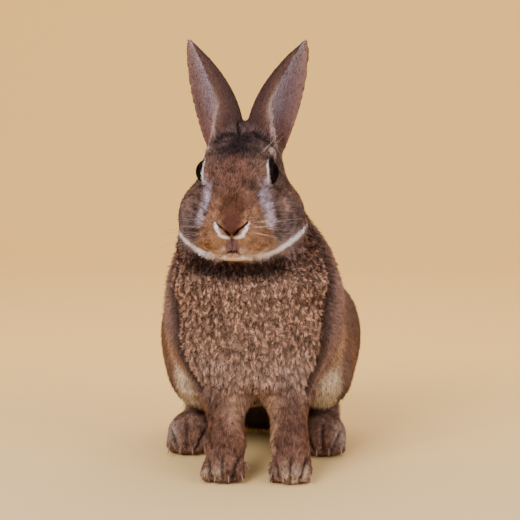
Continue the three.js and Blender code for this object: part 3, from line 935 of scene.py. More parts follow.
# %% [markdown]
# ## The tuft
# One tuft is a closed, three-sided spike that tapers from its root and bends over towards the skin. It
# is one unit long and wide, and each copy is stretched to the length and width of the coat where it
# grows. Over most of the body it is a single short spike of four faces, because there are so many of
# them. On the chest, neck and tail it has a second section, which gives the plush its wave.

# %% Tuft shapes
TUFT_THIN = 0.55


def tuft_object(name, sections, bend, wave):
    """A spike along z that bends towards -x. sections are (height, width) pairs below its tip."""
    places, faces, patch = [], [], []
    for height, width in sections:
        sway = bend * height**2 + wave * math.sin(height * math.tau)
        for corner in range(3):
            angle = math.tau * corner / 3
            across, along = width / 2 * TUFT_THIN * math.cos(angle), width / 2 * math.sin(angle)
            places.append((across - sway, along, height))
            patch.append((corner / 2, height + 0.1 * (corner == 1), 0))
    places.append((-bend, 0, 1))
    patch.append((0.5, 1.0, 0))
    last = 3 * (len(sections) - 1)
    for ring in range(0, last, 3):
        for corner in range(3):
            a, b = ring + corner, ring + (corner + 1) % 3
            faces += [(a, b, b + 3), (a, b + 3, a + 3)]
    faces += [(last + corner, last + (corner + 1) % 3, last + 3) for corner in range(3)]
    faces.append((2, 1, 0))
    mesh = bpy.data.meshes.new(name)
    mesh.from_pydata(places, [], faces)
    store(mesh, "height", "FLOAT", [place[2] for place in places])
    store(mesh, "patch", "FLOAT_VECTOR", patch)
    mesh.shade_smooth()
    thing = new_object(name, mesh)
    thing.hide_render = True
    print(f"{name}: {len(faces)} faces")
    return thing


PLUSH = tuft_object("plush_tuft", ((0, 0.8), (0.55, 1.0)), bend=1.2, wave=0.5)
SHORT = tuft_object("short_tuft", ((0, 1.0),), bend=0.8, wave=0.0)

# %% [markdown]
# ## Growing the coat
# Geometry Nodes scatter points over one part of the skin, as thickly as the skin says, turn each tuft
# to the lie of the coat, lift it off the skin, ruffle it a little, and stretch it. Voronoi cells gather
# neighbouring tufts into locks that lean together. The same tree grows every piece of the coat, with
# the piece's number, tuft and seed as its inputs.


# %% Short ways to write a tree
class Tree:
    """A Geometry Nodes group with short ways to add an input, a node and a link."""

    def __init__(self, name, **inputs):
        self.group = bpy.data.node_groups.new(name, "GeometryNodeTree")
        self.group.interface.new_socket("Geometry", in_out="OUTPUT", socket_type="NodeSocketGeometry")
        self.sockets = {}
        for name, kind in {"Geometry": "Geometry", **inputs}.items():
            socket = self.group.interface.new_socket(name.replace("_", " "), in_out="INPUT",
                                                     socket_type=f"NodeSocket{kind}")
            self.sockets[name] = socket.identifier
        self.given = self.group.nodes.new("NodeGroupInput").outputs

    def node(self, kind, settings=(), **links):
        """Adds a node. settings are its own; links are sockets or values by input name."""
        made = self.group.nodes.new(kind)
        for key, value in dict(settings).items():
            setattr(made, key, value)
        for key, value in links.items():
            place = made.inputs[int(key[1:])] if key[0] == "_" else made.inputs[key.replace("_", " ")]
            if isinstance(value, bpy.types.NodeSocket):
                self.group.links.new(value, place)
            else:
                place.default_value = value
        return made.outputs

    def named(self, name, kind="FLOAT"):
        """The value of a named attribute."""
        return self.node("GeometryNodeInputNamedAttribute", {"data_type": kind}, Name=name)[0]

    def stored(self, geometry, name, value, kind="FLOAT"):
        """The geometry with one more named attribute."""
        return self.node("GeometryNodeStoreNamedAttribute", {"data_type": kind}, Geometry=geometry,
                         Name=name, Value=value)["Geometry"]

    def math(self, operation, *values):
        links = {f"_{n}": value for n, value in enumerate(values)}
        return self.node("ShaderNodeMath", {"operation": operation}, **links)[0]

    def vector(self, operation, first, second):
        name = "Scale" if operation == "SCALE" else "_1"
        return self.node("ShaderNodeVectorMath", {"operation": operation}, **{"_0": first, name: second})[0]

    def chance(self, low, high, seed):
        return self.node("FunctionNodeRandomValue", {"data_type": "FLOAT"}, _2=low, _3=high, Seed=seed)[1]


# %% Coat tree
CELL_SQUAT = (1.0, 1.0, 0.6)
SHORTEST, LONGEST = 0.7, 1.15


def scattered(tree):
    """Points scattered over one piece of the skin, each with its root, its normal and its own chance."""
    given = tree.given
    ours = tree.node("FunctionNodeCompare", {"data_type": "INT", "operation": "EQUAL"},
                     _2=tree.named("piece", "INT"), _3=given["Piece"])[0]
    scatter = tree.node("GeometryNodeDistributePointsOnFaces", Mesh=given["Geometry"], Selection=ours,
                        Density=tree.named("crowd"), Seed=given["Seed"])
    place = tree.node("GeometryNodeInputPosition")[0]
    points = tree.stored(scatter["Points"], "upward", scatter["Normal"], "FLOAT_VECTOR")
    points = tree.stored(points, "root", place, "FLOAT_VECTOR")
    return tree.stored(points, "chance", tree.chance(0.0, 1.0, given["Seed"]))


def locked(tree, points):
    """The points with the lean that gathers them into locks."""
    given = tree.given
    squat = tree.vector("MULTIPLY", tree.node("GeometryNodeInputPosition")[0], CELL_SQUAT)
    cells = tree.node("ShaderNodeTexVoronoi", {"voronoi_dimensions": "3D", "feature": "F1"}, Vector=squat,
                      Scale=tree.math("DIVIDE", 1.0, given["Lock Size"]))
    points = tree.stored(points, "lock_edge", cells["Distance"])
    points = tree.stored(points, "lock_tone", tree.node("ShaderNodeSeparateXYZ", _0=cells["Color"])[0])
    inward = tree.vector("SUBTRACT", cells["Position"], squat)
    inward = tree.vector("SCALE", inward, tree.math("DIVIDE", given["Lock Pull"], given["Lock Size"]))
    stray = tree.vector("SUBTRACT", cells["Color"], (0.5, 0.5, 0.5))
    stray = tree.vector("SCALE", stray, given["Lock Stray"])
    lean = tree.vector("SCALE", tree.vector("ADD", inward, stray), tree.named("locks"))
    return tree.stored(points, "locked", lean, "FLOAT_VECTOR")


def coat_tree():
    tree = Tree("coat", Tuft="Object", Piece="Int", Seed="Int", Ruffle="Float", Lock_Size="Float",
                Lock_Pull="Float", Lock_Stray="Float", Material="Material")
    given = tree.given
    points = locked(tree, scattered(tree))
    upward = tree.named("upward", "FLOAT_VECTOR")
    shake = tree.node("FunctionNodeRandomValue", {"data_type": "FLOAT_VECTOR"}, _0=(-1.0, -1.0, -1.0),
                      _1=(1.0, 1.0, 1.0), Seed=given["Seed"])[0]
    aim = tree.vector("ADD", tree.named("lie", "FLOAT_VECTOR"), tree.named("locked", "FLOAT_VECTOR"))
    aim = tree.vector("ADD", aim, tree.vector("SCALE", upward, tree.named("lift")))
    aim = tree.vector("ADD", aim, tree.vector("SCALE", shake, given["Ruffle"]))
    turn = tree.node("FunctionNodeAxesToRotation", {"primary_axis": "Z", "secondary_axis": "X"},
                     Primary_Axis=aim, Secondary_Axis=upward)[0]
    growth = tree.chance(SHORTEST, LONGEST, tree.math("ADD", given["Seed"], 7.0))
    girth, span = tree.named("girth"), tree.math("MULTIPLY", tree.named("span"), growth)
    size = tree.node("ShaderNodeCombineXYZ", _0=girth, _1=girth, _2=span)[0]
    tuft = tree.node("GeometryNodeObjectInfo", Object=given["Tuft"])["Geometry"]
    copies = tree.node("GeometryNodeInstanceOnPoints", Points=points, Instance=tuft, Rotation=turn,
                       Scale=size)["Instances"]
    solid = tree.node("GeometryNodeRealizeInstances", Geometry=copies)["Geometry"]
    dressed = tree.node("GeometryNodeSetMaterial", Geometry=solid, Material=given["Material"])["Geometry"]
    tree.node("NodeGroupOutput", Geometry=dressed)
    return tree


COAT = coat_tree()
print(f"coat tree: {len(COAT.group.nodes)} nodes")

# %% [markdown]
# ## Markings
# The coat is agouti: brown hair banded with tan and tipped with black. On top of it lie the pale rings of
# the eyes, the white line of the jaw, the tan whisker pads and the pale groin, and the belly is painted
# dark as the shade under the body. Each mark is a line or spot of a real size at its place on one side,
# mirrored to the other, with a soft, uneven edge. The colour is kept on the skin's points, and each tuft
# takes the colour of the place where it grows.

# %% Ground colours of the parts
GROUND = {"head": paint(124, 94, 82), "muzzle": paint(164, 122, 92), "eye": paint(120, 90, 76),
          "ear": paint(92, 68, 62), "neck": paint(132, 100, 88), "trunk": paint(168, 138, 132),
          "tail": paint(112, 88, 76), "thigh": paint(119, 95, 98), "foreleg": paint(144, 104, 87),
          "forefoot": paint(152, 112, 94), "hindfoot": paint(160, 121, 104)}
# the bib's colours; the dark brown for its top is painted shade, the chin's shadow on it
BIB_MIDDLE, BIB_LOW, BIB_SHADE_BELOW_CHIN = paint(186, 147, 127), paint(206, 172, 158), paint(104, 71, 58)
# painted shade: the near-black brown of the furrow behind the bib's edge
BIB_FURROW_SHADE = paint(54, 39, 36)


def painted(colours, colour, share):
    """The colours with this much of another one laid over them."""
    return colours + np.clip(share, 0, 1)[:, None] * (colour - colours)


coat = diffused(np.array([GROUND[part] for part in PART_NAMES])[region], 12)
coat = painted(coat, BIB_MIDDLE, bib)
coat = painted(coat, BIB_LOW, 0.85 * bib * step(height, 112, 78))
# painted shade: the top of the bib is darkened as the shadow below the chin
coat = painted(coat, BIB_SHADE_BELOW_CHIN, 0.9 * bib * step(height, 148, 170))
# painted shade: dark in the furrow just behind the edge of the bib
coat = painted(coat, BIB_FURROW_SHADE, 0.92 * at_bib * hump(behind_bib(skin_points) - 4.0, 4.5))
print(f"ground: {len(GROUND)} parts and the bib")

# %% [markdown]
# ## Marks of the body
# The back is dark, the flanks are greyer and the groin and the underside of the tail are pale. The belly is
# painted dark as shade, and the outer side of each hind foot is painted pale as a highlight. The marks fade
# out towards the head, which has its own.

# %% Marks on the body
EDGE_WOBBLE, WOBBLE_SIZE = 0.45, 3.0
#   what it is, path on the left side (mm), width, softness, colour, strength
BODY_MARKS = (
    ("nape", ((0, -40, 205), (0, -18, 178)), 14, 16, paint(158, 108, 76), 0.7),
    ("back", ((0, 20, 175), (0, 60, 130), (0, 100, 90)), 34, 26, paint(104, 82, 72), 0.6),
    ("flank", ((74, 10, 112), (66, 30, 100)), 22, 22, paint(138, 112, 108), 0.6),
    ("haunch", ((76, -16, 88),), 12, 14, paint(180, 140, 124), 0.6),
    ("haunch edge", ((84, 20, 40), (82, -10, 48), (78, -24, 40)), 9, 9, paint(84, 64, 58), 0.8),
    ("flank tan", ((66, -36, 100), (61, -42, 78)), 5, 8, paint(216, 178, 150), 0.9),
    ("groin", ((58, -40, 68), (52, -22, 44)), 7, 7, paint(255, 238, 220), 1.0),
    # painted shade: the belly is painted nearly black as the shade under the body, between the legs
    ("belly", ((0, -60, 36), (0, -20, 20), (0, 50, 18)), 25, 8, paint(52, 38, 32), 0.95),
    ("chest bottom", ((0, -84, 62), (0, -72, 50)), 10, 9, paint(196, 162, 148), 0.85),
    ("leg front", ((28, -104, 66), (28, -112, 30)), 7, 10, paint(116, 86, 78), 0.5),
    ("leg inside", ((12.5, -97, 60), (13, -103, 26)), 5, 6, paint(232, 186, 156), 0.7),
    ("toes", ((20, -128, 9), (44, -126, 9)), 4, 6, paint(232, 200, 174), 0.7),
    # painted highlight: the outer side of each hind foot is painted pale where light falls on it
    ("highlight on the hind foot side", ((70, -30, 18), (70, -8, 20)), 5, 9, paint(208, 180, 164), 0.75),
    ("scut underside", ((0, 120, 20), (0, 100, 12)), 15, 9, paint(240, 232, 226), 1.0),
)


def with_marks(colours, folded, tree, marks):
    """Paints every mark over the colours; folded holds the points with both sides on the left."""
    for _, path, width, soft, colour, strength in marks:
        distance = distance_to_line(folded, tree, path) + (ragged - 0.5) * 2 * EDGE_WOBBLE * soft
        colours = painted(colours, colour, strength * step(distance, width + soft, width - 0.3 * soft))
    return colours


ragged = cloud(skin_points, WOBBLE_SIZE, 5)
face_tree, body_tree = surface_tree(head_points), surface_tree(skin_points)
off_head = step(np.linalg.norm(head_points - (0, 40, 215), axis=1), 52, 70)[:, None]
coat = coat + off_head * (with_marks(coat, mirrored(skin_points), body_tree, BODY_MARKS) - coat)
print(f"body: {len(BODY_MARKS)} marks")

# %% [markdown]
# ## Marks of the face
# They are painted from the broad ones to the fine ones: pads, forehead and cheeks, then the white line of
# the jaw, and last the dark slits of the nose and mouth, which are painted shade in their grooves.

# %% Marks on the face
JAW_LINE = ((21.5, 17.3, 172.3), (27.6, 17.7, 175.3), (35.2, 20.4, 180), (42, 27, 184.8),
            (46.4, 36.4, 188.3), (47.9, 51.2, 190.3))
BEHIND_CHEEK = ((47.9, 51.2, 190.3), (48, 70, 191), (46, 84, 191.2))
UNDER_NOSTRIL = ((12.2, -3, 198.0), (10.2, -4, 194.2), (6.8, -5, 190.4), (2.6, -3.6, 187.8))
BESIDE_BRIDGE = ((20, 14, 238), (16, 11, 224), (12, 5, 212))
LILAC_BAND = ((22.6, 16.5, 226), (21.5, 14, 215), (26.5, 15.5, 199))
UPPER_LIP = ((7, 3, 180), (14, 7, 179.5), (22, 13, 179))
FACE_MARKS = (
    ("whisker pad", ((16, 4, 204), (22, 6, 198), (22, 4, 190)), 7, 6, paint(168, 119, 91), 0.95),
    ("gold beside the nose", ((15, 2, 205), (19, 6, 201)), 2.5, 3.5, paint(182, 140, 112), 0.7),
    ("crown", ((0, 46, 262), (0, 66, 262)), 24, 12, paint(107, 84, 81), 0.85),
    ("forehead", ((0, 38, 258), (0, 24, 250)), 8, 13, paint(46, 32, 35), 0.95),
    ("bridge", ((0, 12, 236), (0, -1, 218)), 9, 8, paint(130, 90, 77), 0.85),
    ("rust beside the bridge", BESIDE_BRIDGE, 1.6, 3.5, paint(140, 98, 78), 0.3),
    ("nose bridge", ((0, -4, 214), (0, -7, 205)), 7.5, 5, paint(97, 61, 45), 0.95),
    ("nose top", ((0, -8, 201), (0, -8, 194)), 4.5, 4, paint(93, 57, 50), 0.95),
    ("lilac band", LILAC_BAND, 2.2, 6.5, paint(216, 196, 210), 0.85),
    ("cheek", ((42, 32, 196), (38, 30, 186)), 12, 14, paint(126, 105, 107), 0.8),
    ("cheek spot", ((37.5, 26.5, 208),), 4, 8, paint(168, 136, 124), 0.85),
    ("shade behind the pad", ((31, 18, 206), (31, 18, 186)), 1.4, 3.5, paint(84, 66, 62), 0.7),
    ("behind the eye", ((29, 38, 229), (32, 46, 236)), 4, 8, paint(98, 78, 74), 0.7),
    # painted shadow: the throat below the chin is painted dark as the chin's shadow
    ("shadow under the chin", ((0, 24, 164), (16, 25, 164), (26, 30, 168)), 5, 6, paint(58, 40, 34), 0.95),
    ("behind the cheek", BEHIND_CHEEK, 0.6, 1.8, paint(226, 208, 204), 0.75),
    ("jaw line", JAW_LINE, 1.4, 1.6, paint(253, 247, 255), 0.97),
    ("chin", ((0, 4, 173), (10, 8, 173), (19, 15, 172.5)), 3.0, 2.0, paint(244, 220, 208), 0.95),
    ("upper lip", UPPER_LIP, 2.2, 2.6, paint(214, 182, 166), 0.75),
    ("white under the nostril", UNDER_NOSTRIL, 0.9, 1.2, paint(255, 250, 255), 1.0),
    ("lip shade", ((2.2, -3, 186), (2.2, -1, 179)), 2.0, 2.0, paint(120, 88, 94), 0.85),
    # painted shade: the nostrils, the cleft of the lip and the mouth are painted near black as the shade
    # inside their grooves
    ("nostril", NOSTRIL, 0.95, 0.5, paint(30, 17, 16), 1.0),
    ("lip cleft", CLEFT, 0.5, 0.5, paint(40, 25, 27), 1.0),
    ("mouth", ((0, -0.4, 177.4), (3.2, 0.6, 177.0)), 0.9, 0.7, paint(40, 24, 22), 1.0),
    ("lower lip", ((0, 1.2, 174.6), (3, 1.8, 174.4)), 1.2, 1.8, paint(200, 150, 124), 0.8),
)
painted_face = mirrored(head_points)
coat = with_marks(coat, painted_face, face_tree, FACE_MARKS)
print(f"face: {len(FACE_MARKS)} marks")

# %% [markdown]
# ## Rings and rims of the eyes
# A thin pale ring lies round the dark lid. It is broken at the lowest part of the eye and only shows on
# the side that looks forwards; on the other side the dark rim is wider.

# %% Rings and rims of the eyes
RING_ARC, RING_WIDTH = 1.9, 0.6
forward = step(-unit(painted_face - EYE_PLACE)[:, 1], 0.25, 0.75)
ring = hump(lid_arc - RING_ARC, RING_WIDTH) * near_lids * step(lid_upward, -0.95, -0.6)
coat = painted(coat, paint(255, 250, 252), ring * forward)
rim = np.maximum(step(lid_arc, 1.3, 0.7), 0.8 * (1 - forward) * step(lid_arc, 3.0, 1.5)) * near_lids
coat = painted(coat, paint(36, 26, 25), rim)
print(f"eyes: {(rim > 0.5).sum()} points on the dark rims")

# %% [markdown]
# ## Ears inside and out
# The inside of an ear is thinly haired, lilac to pink, and glows along its front edge where light comes
# through the wall. The outside is brown with a pale fringe and a dark edge near the tip. Both follow
# the ear's own sizes: the share of its height, and the share of the way round its wall.

# %% Places on the ear
ear_t = (painted_face[:, 2] - EAR_FOOT[2]) / EAR_RISE
ear_off = painted_face - ear_middle(ear_t)
ear_deep = ear_off[:, 1] / ear_flatness(ear_t)
ear_front, ear_outer = ear_angles(ear_t)
ear_share = (np.degrees(np.arctan2(-ear_deep, ear_off[:, 0])) % 360 - ear_front) / (ear_outer - ear_front)
ear_inside = step(np.hypot(ear_off[:, 0], ear_deep) - ear_half_width(ear_t), 0.5, -0.5)
is_ear = diffused(in_ear.astype(float), 3)
print(f"ears: {((ear_inside > 0.5) & in_ear).sum()} points on the inside")

# %% Colour of the ears
inner = np.tile(paint(190, 174, 190), (len(coat), 1))
inner = painted(inner, paint(156, 117, 108), step(ear_share, 0.55, 0.95))
inner = painted(inner, paint(178, 122, 112), 0.6 * step(ear_t, 0.45, 0.1))
outer = painted(coat, paint(80, 57, 53), 0.8 * is_ear)
outer = painted(outer, paint(132, 92, 74), 0.35 * hump(ear_share - 0.09, 0.045) * (1 - ear_inside))
ears = inner * ear_inside[:, None] + outer * (1 - ear_inside[:, None])
glow = hump(np.maximum(ear_share, 0), 0.16) * ear_inside * step(ear_t, 0.9, 0.3)
ears = painted(ears, paint(206, 180, 174), 0.75 * glow)
fringe = hump(ear_share - 0.03, 0.028) * step(ear_t, 0.8, 0.35)
ears = painted(ears, paint(206, 176, 164), 0.6 * fringe)
dark_edge = np.maximum(step(ear_share, 0.96, 1.0), step(ear_share, 0.05, 0.0)) * step(ear_t, 0.55, 0.8)
ears = painted(ears, paint(64, 46, 40), 0.9 * dark_edge)
coat = coat + is_ear[:, None] * (ears - coat)
print(f"ears: mean colour {coat[in_ear].mean(0).round(3)}")

# %% [markdown]
# ## Dark folds
# The fold of the crown, its parting and the gaps between the toes are in shade, so they are painted
# last, over the ears, and so is the pale brow in front of them.

# %% Folds, brow and toes
CROWN_MARKS = (
    ("crown fold", ((0, 50, 259.3), (14, 49, 259.6), (21, 51, 254.8)), 1.0, 2.0, paint(40, 28, 28), 0.9),
    ("brow", ((24.0, 33, 250), (25, 40, 247.5), (25, 49, 247.5)), 2.0, 2.6, paint(232, 206, 192), 0.8),
)
coat = with_marks(coat, painted_face, face_tree, CROWN_MARKS)
coat = painted(coat, paint(46, 32, 29), 0.85 * hump(between_toes, 1.2))
to_parting = distance_to_line(head_points, face_tree, CROWN_PART)
coat = painted(coat, paint(28, 20, 20), step(to_parting, 3.0, 1.4))
store_coat(skin_mesh, coat)
print("markings: painted on the skin")

# %% [markdown]
# ## How thick, long and raised the coat is
# Each part of the animal has its own coat: a short, close pile on the face, ears and feet, and a deep
# plush on the chest that stands up from the skin. Fleck is how much one tuft differs from the next.

# %% Coat by part
#             span  girth  tufts per mm2  lift  fleck
COAT_BY_PART = {
    "head": (3.6, 0.58, 1.55, 0.30, 1.6),
    "muzzle": (2.2, 0.46, 2.80, 0.22, 1.3),
    "eye": (2.2, 0.46, 2.00, 0.20, 0.9),
    "ear": (2.8, 0.52, 1.30, 0.13, 0.6),
    "neck": (6.5, 0.78, 0.84, 0.45, 1.0),
    "trunk": (6.2, 0.66, 1.25, 0.24, 0.45),
    "tail": (10.0, 1.00, 1.00, 0.60, 0.5),
    "thigh": (6.0, 0.66, 1.25, 0.24, 0.5),
    "foreleg": (4.4, 0.62, 1.60, 0.38, 1.2),
    "forefoot": (3.2, 0.60, 1.70, 0.32, 1.3),
    "hindfoot": (3.4, 0.62, 1.50, 0.30, 1.2),
}


def coat_column(column):
    return diffused(by_region({part: values[column] for part, values in COAT_BY_PART.items()}), 14)


span, girth, crowd, lift, fleck = (coat_column(column) for column in range(5))
print(f"coat: {crowd.min():.1f} to {crowd.max():.1f} tufts for each square millimetre")

# %% [markdown]
# ## Where the coat departs from its part
# Hair is shorter near the nose and along the jaw, longer over the claws and under the belly, and stands
# up on the bib, where thin tufts gather into locks. The eyes, nostrils, cleft and parting are bare.

# %% Shorter, longer and bare
CLAW_NODES = [name for name in frame["nodes"] if "claw" in name]
CLAW_HAIR, CLAW_REACH = 2.8, 6.0
BELLY_HAIR = 7
near_nose = step(distance_to_path(head_points, (NOSE_TIP,)), 22, 6)
near_jaw = step(distance_to_line(face, face_tree, ((0, 4, 173),) + JAW_LINE + BEHIND_CHEEK), 10, 4)
under_belly = trunk_like * step(height, 44, 30) * step(skin_points[:, 1], 70, 50)
near_claw = np.full(len(skin_points), FAR)
for name in CLAW_NODES:
    middle = points_of(frame["nodes"][name].data).mean(0)
    near_claw = np.minimum(near_claw, np.linalg.norm(skin_points - middle, axis=1))
span = span * (1 - 0.5 * near_nose) * (1 - 0.22 * bib - 0.18 * curly) + BELLY_HAIR * under_belly
span = span * (1 - 0.5 * near_jaw) + CLAW_HAIR * hump(near_claw, CLAW_REACH)
lift = (lift + 0.42 * bib + 0.5 * under_belly) * (1 - 0.4 * near_jaw)
girth = girth * (1 - 0.3 * near_jaw) * (1 - 0.26 * bib) * (1 - 0.2 * near_nose)
crowd = crowd * (1 + 0.35 * bib)
fleck = fleck + 1.2 * bib * (0.35 + 0.65 * step(height, 85, 120))
locks = np.clip(bib * (0.55 + 0.45 * step(height, 80, 110)) + 0.2 * trunk_like, 0, 1)
bare = (eye_distance < EYE_RADIUS + 0.6) & (lid_arc < 1.2)
bare |= (distance_to_line(face, face_tree, NOSTRIL) < 1.0) | (to_parting < 1.6)
bare |= distance_to_line(face, face_tree, CLEFT) < 0.5
crowd = np.where(bare, 0, crowd)
print(f"coat: spans {span.min():.1f} to {span.max():.1f} mm, {bare.sum()} bare points")

# %% [markdown]
# ## Pieces of the coat
# The coat is made in pieces, so that each stays a mesh of moderate size. A face of the skin belongs to
# the piece of its first corner.

# %% Pieces of the coat
PIECES = ("face", "crown", "ears", "ruff", "chest", "chest_low", "back", "flank_left", "flank_right",
          "haunches", "forelegs", "feet", "scut")
CROWN_START, CHEST_END, CHEST_SPLIT, FLANK_START = 34.0, -40.0, 108.0, 30.0
PER_SQUARE_METRE = 1e6


def piece_of_points():
    """The index in PIECES of each skin point. A later rule takes over from an earlier one."""
    trunk, front = is_part("trunk"), skin_points[:, 1] < CHEST_END
    rules = (
        ("face", is_part("head", "muzzle", "eye")),
        ("crown", is_part("head") & (head_points[:, 1] > CROWN_START)),
        ("ears", in_ear),
        ("ruff", is_part("neck")),
        ("back", trunk),
        ("flank_left", trunk & (skin_points[:, 0] > FLANK_START)),
        ("flank_right", trunk & (skin_points[:, 0] < -FLANK_START)),
        ("chest", trunk & front),
        ("chest_low", trunk & front & (height < CHEST_SPLIT)),
        ("haunches", is_part("thigh")),
        ("forelegs", is_part("foreleg")),
        ("feet", is_part("forefoot", "hindfoot")),
        ("scut", is_part("tail")),
    )
    piece = np.zeros(len(region), np.int32)
    for name, chosen in rules:
        piece[chosen] = PIECES.index(name)
    return piece


first_corner = read(skin_mesh.polygons, "loop_start", np.int32)
face_point = read(skin_mesh.loops, "vertex_index", np.int32)[first_corner]
store(skin_mesh, "piece", "INT", piece_of_points()[face_point], "FACE")
store(skin_mesh, "lie", "FLOAT_VECTOR", lie)
for name, values in (("lift", lift), ("span", span * MM), ("girth", girth * MM), ("fleck", fleck),
                     ("locks", locks), ("crowd", crowd * PER_SQUARE_METRE)):
    store(skin_mesh, name, "FLOAT", values)
print(f"coat: {len(PIECES)} pieces over {len(face_point)} faces")

# %% [markdown]
# ## Fur and skin finish
# Both the skin and the tufts read the same painted colour. A shared group breaks it up with fine,
# streaky noise, as single hairs do, and gives the skin a fine nap as bump, which is all the relief that
# the flattest hair needs.


# %% Hair grain group
def hair_grain_group():
    """A shader group: a painted colour in, the same colour broken up by fine streaks and a height out."""
    group = bpy.data.node_groups.new("hair_grain", "ShaderNodeTree")
    for name, kind, in_out in (("Paint", "Color", "INPUT"), ("Scale", "Float", "INPUT"),
                               ("Contrast", "Float", "INPUT"), ("Colour", "Color", "OUTPUT"),
                               ("Height", "Float", "OUTPUT")):
        group.interface.new_socket(name, in_out=in_out, socket_type=f"NodeSocket{kind}")
    given = add_node(group, "NodeGroupInput")
    made = add_node(group, "NodeGroupOutput")
    fine = object_noise(group, 1.0, 3.0)
    join(group, given.outputs["Scale"], fine.node.inputs["Scale"])
    centred = add_node(group, "ShaderNodeMath", operation="SUBTRACT")
    centred.inputs[1].default_value = 0.5
    join(group, fine, centred.inputs[0])
    amount = add_node(group, "ShaderNodeMath", operation="MULTIPLY_ADD")
    amount.inputs[2].default_value = 1.0
    join(group, centred.outputs[0], amount.inputs[0])
    join(group, given.outputs["Contrast"], amount.inputs[1])
    toned = add_node(group, "ShaderNodeVectorMath", operation="SCALE")
    join(group, given.outputs["Paint"], toned.inputs[0])
    join(group, amount.outputs[0], toned.inputs["Scale"])
    join(group, toned.outputs[0], made.inputs["Colour"])
    join(group, fine, made.inputs["Height"])
    return group


HAIR_GRAIN = hair_grain_group()
print(f"hair grain: a group of {len(HAIR_GRAIN.nodes)} nodes")


# %% Fur and hide
def coat_material(name, roughness, grain_scale, contrast, bump):
    """A material that wears the painted coat colour. bump is the nap's height in metres."""
    material, tree, shader = new_material(name, roughness)
    colour = add_node(tree, "ShaderNodeAttribute", attribute_name="coat")
    grain = add_node(tree, "ShaderNodeGroup", node_tree=HAIR_GRAIN)
    grain.inputs["Scale"].default_value = grain_scale
    grain.inputs["Contrast"].default_value = contrast
    join(tree, colour.outputs["Color"], grain.inputs["Paint"])
    join(tree, grain.outputs["Colour"], shader.inputs["Base Color"])
    shader.inputs["Specular IOR Level"].default_value = 0.05
    if bump:
        relief = add_node(tree, "ShaderNodeBump")
        relief.inputs["Distance"].default_value = bump
        join(tree, grain.outputs["Height"], relief.inputs["Height"])
        join(tree, relief.outputs["Normal"], shader.inputs["Normal"])
    return material


fur = coat_material("fur", 0.7, 260.0, 0.5, 0.0)
hide = coat_material("hide", 0.65, 900.0, 0.9, 0.0006)
print("finish: fur and hide")

# %% [markdown]
# ## Unwrap of the skin
# The skin is unwrapped once. Each tuft is later given a small patch of the same map, at the place of
# its root, so that a bake finds room for every tuft.

# %% Unwrap
BAKE_MAP = "OFBake"
SEAM_ANGLE, ISLAND_GAP = 1.15, 0.002


def unwrap(mesh):
    """Gives the mesh an unwrap of its own shape."""
    carrier = new_object("unwrap", mesh)
    bpy.context.view_layer.objects.active = carrier
    carrier.select_set(True)
    mesh.uv_layers.new(name=BAKE_MAP)
    bpy.ops.object.mode_set(mode="EDIT")
    bpy.ops.mesh.select_all(action="SELECT")
    bpy.ops.uv.smart_project(angle_limit=SEAM_ANGLE, island_margin=ISLAND_GAP, scale_to_bounds=True)
    bpy.ops.object.mode_set(mode="OBJECT")
    bpy.data.objects.remove(carrier)


unwrap(skin_mesh)
print(f"skin: unwrapped as {BAKE_MAP}")

# %% [markdown]
# ## Colour of the tufts
# Each tuft is painted with shade: darkest at its root, deep in the coat, and brightest at its tip. It is
# ticked: some tufts are tan, some black-tipped. The chest's plush is parted into small curls, with painted
# shade in the gaps between them and painted light on their middles. Elsewhere, random patches of painted
# shade and light break the coat up.

# %% Colour of the tufts
# painted shade and light: factors that darken the roots, brighten the tips and darken the gaps between
# locks
ROOT_SHADE, TIP_SHADE = 0.45, 1.22
LOCK_ROOT_SHADE, LOCK_TIP_SHADE = 0.20, 1.30
TICK_SPREAD, GAP_SHADE_SPREAD = 0.30, 0.85
BLACK_SHARE, BLACK_TONE = 0.13, 0.42
DEEPEST_GAP_SHADE, BRIGHTEST_LOCK_LIGHT = 0.35, 1.7
PATCH = 0.003
FLOOR_GAP = 0.05
TUFT_FIELDS = ("chance", "height", "fleck", "locks", "lock_edge", "lock_tone")
FIELDS_KEPT = ("position", "sharp_face", "material_index")


def ticked(colours, roots, chance, height, fleck, locks, lock_edge, lock_tone):
    """The colours of tuft points: ticked from tuft to tuft, with painted shade towards the roots and
    between locks, and painted light at the tips and the locks' middles.
    """
    tone = 1 + TICK_SPREAD * fleck * (2 * chance - 1)
    tone = np.where((chance < BLACK_SHARE * fleck) & (height > 0.4), BLACK_TONE, tone)
    # painted shade and light: random darker and brighter patches, and on the locks darker edges and
    # brighter middles
    gaps = 0.6 * cloud(roots, 2.4, 21) + 0.4 * cloud(roots + 40, 4.6, 22) - 0.5
    gaps = gaps * (1 - locks) + locks * (1.3 * (0.50 - lock_edge) + 0.3 * (lock_tone - 0.5))
    # painted shade: darkest at the root, deep in the coat, and brightest at the tip
    depth_shade = ROOT_SHADE + (TIP_SHADE - ROOT_SHADE) * height**0.8
    lock_shade = LOCK_ROOT_SHADE + (LOCK_TIP_SHADE - LOCK_ROOT_SHADE) * height
    depth_shade = depth_shade + locks * (lock_shade - depth_shade)
    lumps = np.clip(1 + GAP_SHADE_SPREAD * fleck * gaps * 2, DEEPEST_GAP_SHADE, BRIGHTEST_LOCK_LIGHT)
    return colours * (tone * depth_shade * lumps)[:, None]


